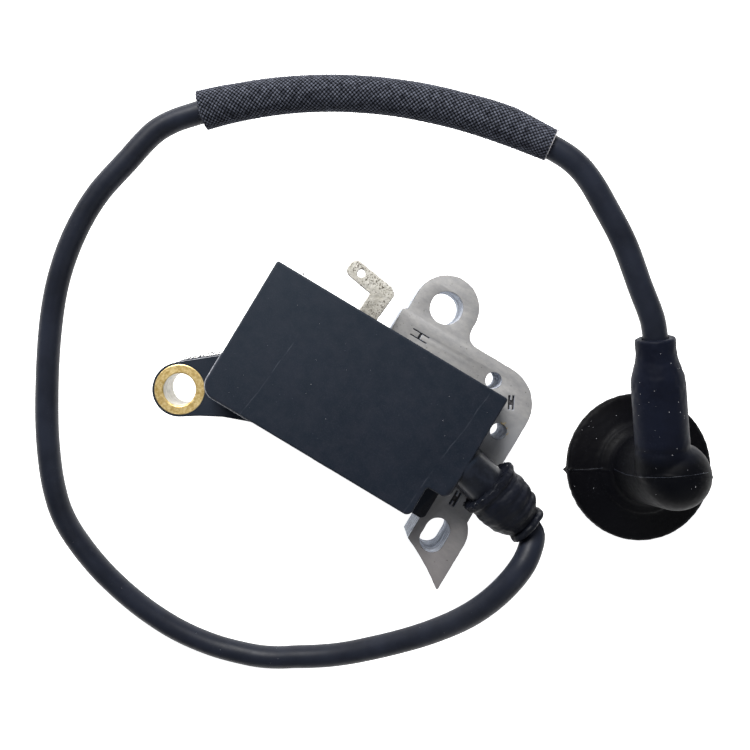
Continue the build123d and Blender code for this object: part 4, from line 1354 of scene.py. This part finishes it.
def build_boot_seams(boot):
    """The mould's parting line, a thin ragged seam over flange, tower and elbow."""
    bpy.context.evaluated_depsgraph_get().update()
    for tag, marks in SEAMS.items():
        run = []
        for start, end in zip(np.array(marks, float), np.array(marks[1:], float)):
            steps = max(1, int(np.linalg.norm(end - start) / 0.55))
            for i in range(steps):
                view = unit(start + (end - start) * i / steps - CAMERA_AT)
                hit, place, normal, _ = boot.ray_cast(Vector(tuple(CAMERA_AT * MM)),
                                                      Vector(tuple(view)))
                if not hit:
                    continue
                place = np.array(place) / MM + np.array(normal) * 0.01
                if not run or 0.15 < np.linalg.norm(place - run[-1]) < 3.0:
                    run.append(place)
        if len(run) > 4:        # too few hits make no curve
            points, tangents = spline(run, 0.22)
            radii = [max(0.02, 0.052 + 0.060 * noise3(*(p * 0.8)) + 0.04 * noise3(*(p * 4.0)))
                     for p in points]
            new_object("boot_seam_" + tag, *tube(points, tangents, radii, 8), "seam_rubber",
                       "boot", "boot_rubber", angle=60)


# ---------------------------------------------------------------- small things on the block
def build_rim_highlight():
    """Thin pale bead round the block's rim where it stands over the fixing arm: a painted
    highlight of the rim's edge.
    """
    x, y, z, radius = -32.04, -37.91, 19.75, 3.08      # centre and radius of its corner
    marks = [(x - radius, side_y, z) for side_y in np.linspace(-31.6, -37.9, 12)]
    for i in range(1, 12):
        angle = math.pi + (math.pi / 2) * i / 12
        marks.append((x + radius * math.cos(angle), y + radius * math.sin(angle), z))
    marks += [(side_x, y - radius, z) for side_x in np.linspace(-32.0, -22.5, 14)]
    points, tangents = spline(marks, 0.25)
    count = len(points)
    radii = [0.115 * min(1, (i + 1) / 10, (count - i) / 10) + 0.02 * noise3(*(p * 2.0))
             for i, p in enumerate(points)]
    new_object("rim_highlight", *tube(points, tangents, radii, 10), "edge_bead", "module",
               "block_plastic", angle=60)


def build_arm_flash():
    """Ragged flash on the fixing arm's upper edge: crumbs, the ledge they hang on, a line."""
    start, end = np.array((-43.46, -39.60, 10.9)), np.array((-35.7, -33.15, 10.9))
    outward = np.array((-0.64, 0.77, 0))
    spots = []
    for _ in range(56):
        t = 0.2 + 0.8 * rng.random()
        spots.append(start + (end - start) * t + outward * rng.uniform(0.35, 0.95)
                     + np.array((0, 0, rng.uniform(-0.9, -0.3))))
    grains("arm_flash_dark", spots[:30], (0.10, 0.26), "dark_grain", "module", 13, 0.7)
    grains("arm_flash_pale", spots[30:], (0.12, 0.28), "pale_grain", "module", 14, 0.7)

    # ledge section: z, distance outwards
    section = ((-1.0, -0.3), (-1.0, 0.3), (-0.75, 0.42), (-0.2, 0.40), (-0.12, 0.3),
               (-0.12, -0.3))
    rings = []
    for i in range(70):
        t = i / 69
        taper = min(1.0, t * 5, (1 - t) * 9 + 0.3)
        ring = []
        for k, (z, reach) in enumerate(section):
            if reach > 0:
                reach = reach * taper + 0.20 * taper * noise3(i * 0.45, k * 0.1, 2.0)
            ring.append(start + (end - start) * t + outward * reach + np.array((0, 0, z)))
        rings.append(np.array(ring))
    # the section's inner edge is moved by zero, so the roughness leaves it in place
    for i, ring in enumerate(rings):
        t = i / 69
        taper = min(1.0, t * 5, (1 - t) * 9 + 0.3)
        for k in (0, 5):
            ring[k] += outward * 0.0 * taper
    new_object("arm_flash_ledge", *skin(rings), "block_plastic", "module", angle=45)

    marks = [start + (end - start) * i / 23 + outward * (0.02 + 0.10 * noise3(i * 0.7, 0, 0))
             + np.array((0, 0, -0.15)) for i in range(24)]
    points, tangents = spline(marks, 0.25)
    radii = [0.10 + 0.06 * noise3(*(p * 1.5)) for p in points]
    new_object("arm_flash_line", *tube(points, tangents, radii, 8), "edge_bead", "module",
               "block_plastic", angle=60)


def build_specks():
    spots = []                  # dried resin by the second small hole
    for _ in range(16):
        angle = rng.uniform(0.2, 3.6)
        radius = RIVET_R + rng.uniform(-0.05, 0.55)
        spots.append((RIVET_B[0] + radius * math.cos(angle),
                      RIVET_B[1] + radius * math.sin(angle), STACK + 0.03))
    grains("resin_drops", spots, (0.10, 0.30), "amber_resin", "module", 17, 0.3)

    spots = []                  # dark nicks on the lobe's rim
    for _ in range(12):
        angle = math.radians(rng.uniform(95, 185))
        spots.append((LOBE_R * math.cos(angle), LOBE_R * math.sin(angle), STACK - 0.02))
    grains("lobe_nicks", spots, (0.05, 0.14), "dark_grain", "module", 19, 0.5)

    # crumbs on the block's +y edge
    spots = [(-29.1 + rng.gauss(0, 0.7), -9.93 + rng.uniform(-0.08, 0.10),
              20.25 + rng.uniform(-0.25, 0.1)) for _ in range(9)]
    grains("edge_crumbs", spots, (0.08, 0.22), "dark_grain", "module", 29, 0.6)

    # dust on the block's top face
    spots = [(rng.uniform(-33, 18), rng.uniform(-39, -11.5), 20.505) for _ in range(26)]
    grains("block_dust", spots, (0.025, 0.06), "pale_grain", "module", 23, 0.4)


# ---------------------------------------------------------------- floor, light and camera
def build_floor():
    floor_paper()
    cells, width, z = 16, 1600, -9.7
    row = cells + 1
    verts = [((i / cells - 0.5) * width * MM, (j / cells - 0.5) * width * MM, z * MM)
             for j in range(row) for i in range(row)]
    faces = [(j * row + i, j * row + i + 1, (j + 1) * row + i + 1, (j + 1) * row + i)
             for j in range(cells) for i in range(cells)]
    mesh = bpy.data.meshes.new("floor")
    mesh.from_pydata(verts, [], faces)
    mesh.materials.append(MATERIALS["floor_paper"])
    ob = bpy.data.objects.new("floor", mesh)
    bpy.context.scene.collection.objects.link(ob)


def build_world():
    """Soft light, graded by height."""
    world = bpy.data.worlds.new("studio")
    bpy.context.scene.world = world
    world.use_nodes = True
    tree = world.node_tree
    tree.nodes.clear()
    output, background, coords, split, ramp = (
        tree.nodes.new("ShaderNode" + kind)
        for kind in ("OutputWorld", "Background", "TexCoord", "SeparateXYZ", "ValToRGB"))
    tree.links.new(coords.outputs["Generated"], split.inputs[0])
    tree.links.new(split.outputs[2], ramp.inputs[0])
    low, high = ramp.color_ramp.elements
    low.position, low.color = 0.15, (0.95, 0.97, 1.0, 1)
    high.position, high.color = 0.92, (0.30, 0.31, 0.33, 1)
    tree.links.new(ramp.outputs[0], background.inputs[0])
    background.inputs["Strength"].default_value = 0.34
    tree.links.new(background.outputs[0], output.inputs[0])


def softbox(name, at, size, power, colour):
    """Area light aimed at the middle of the product."""
    light = bpy.data.lights.new(name, "AREA")
    light.shape = "RECTANGLE"
    light.size, light.size_y = size
    light.energy = power
    light.color = colour
    ob = bpy.data.objects.new(name, light)
    bpy.context.scene.collection.objects.link(ob)
    ob.location = at
    aim = Vector((-0.005, -0.025, 0.0)) - Vector(at)
    ob.rotation_euler = aim.to_track_quat("-Z", "Y").to_euler()


def build_camera():
    """Looks straight down, turned about z."""
    camera = bpy.data.cameras.new("camera")
    camera.sensor_width = 36
    camera.lens = 40.51
    camera.shift_x, camera.shift_y = 0.0467, -0.0493
    camera.clip_start = 0.005
    ob = bpy.data.objects.new("camera", camera)
    ob.location = CAMERA_AT * MM
    ob.rotation_euler = (0, 0, math.radians(31))
    bpy.context.scene.collection.objects.link(ob)
    bpy.context.scene.camera = ob
    bpy.context.scene.view_settings.view_transform = "Standard"


build_laminations()
build_clinch_floors()
build_burrs()
build_bushing()
build_terminal()
build_relief()
build_lead()
build_strands()
build_backing()
build_sleeve_end("left", 0.0, -1, "loose_fibre")
build_sleeve_end("right", SLEEVE, 1, "cut_fibre")
build_boot_seams(build_boot())
build_rim_highlight()
build_arm_flash()
build_specks()
build_floor()
build_world()
softbox("softbox_key", at=(-0.34, 0.26, 0.36), size=(0.34, 0.24), power=6.2,
        colour=(1.0, 0.99, 0.97))
softbox("softbox_fill", at=(0.34, -0.22, 0.34), size=(0.40, 0.30), power=0.45,
        colour=(0.93, 0.96, 1.0))
build_camera()
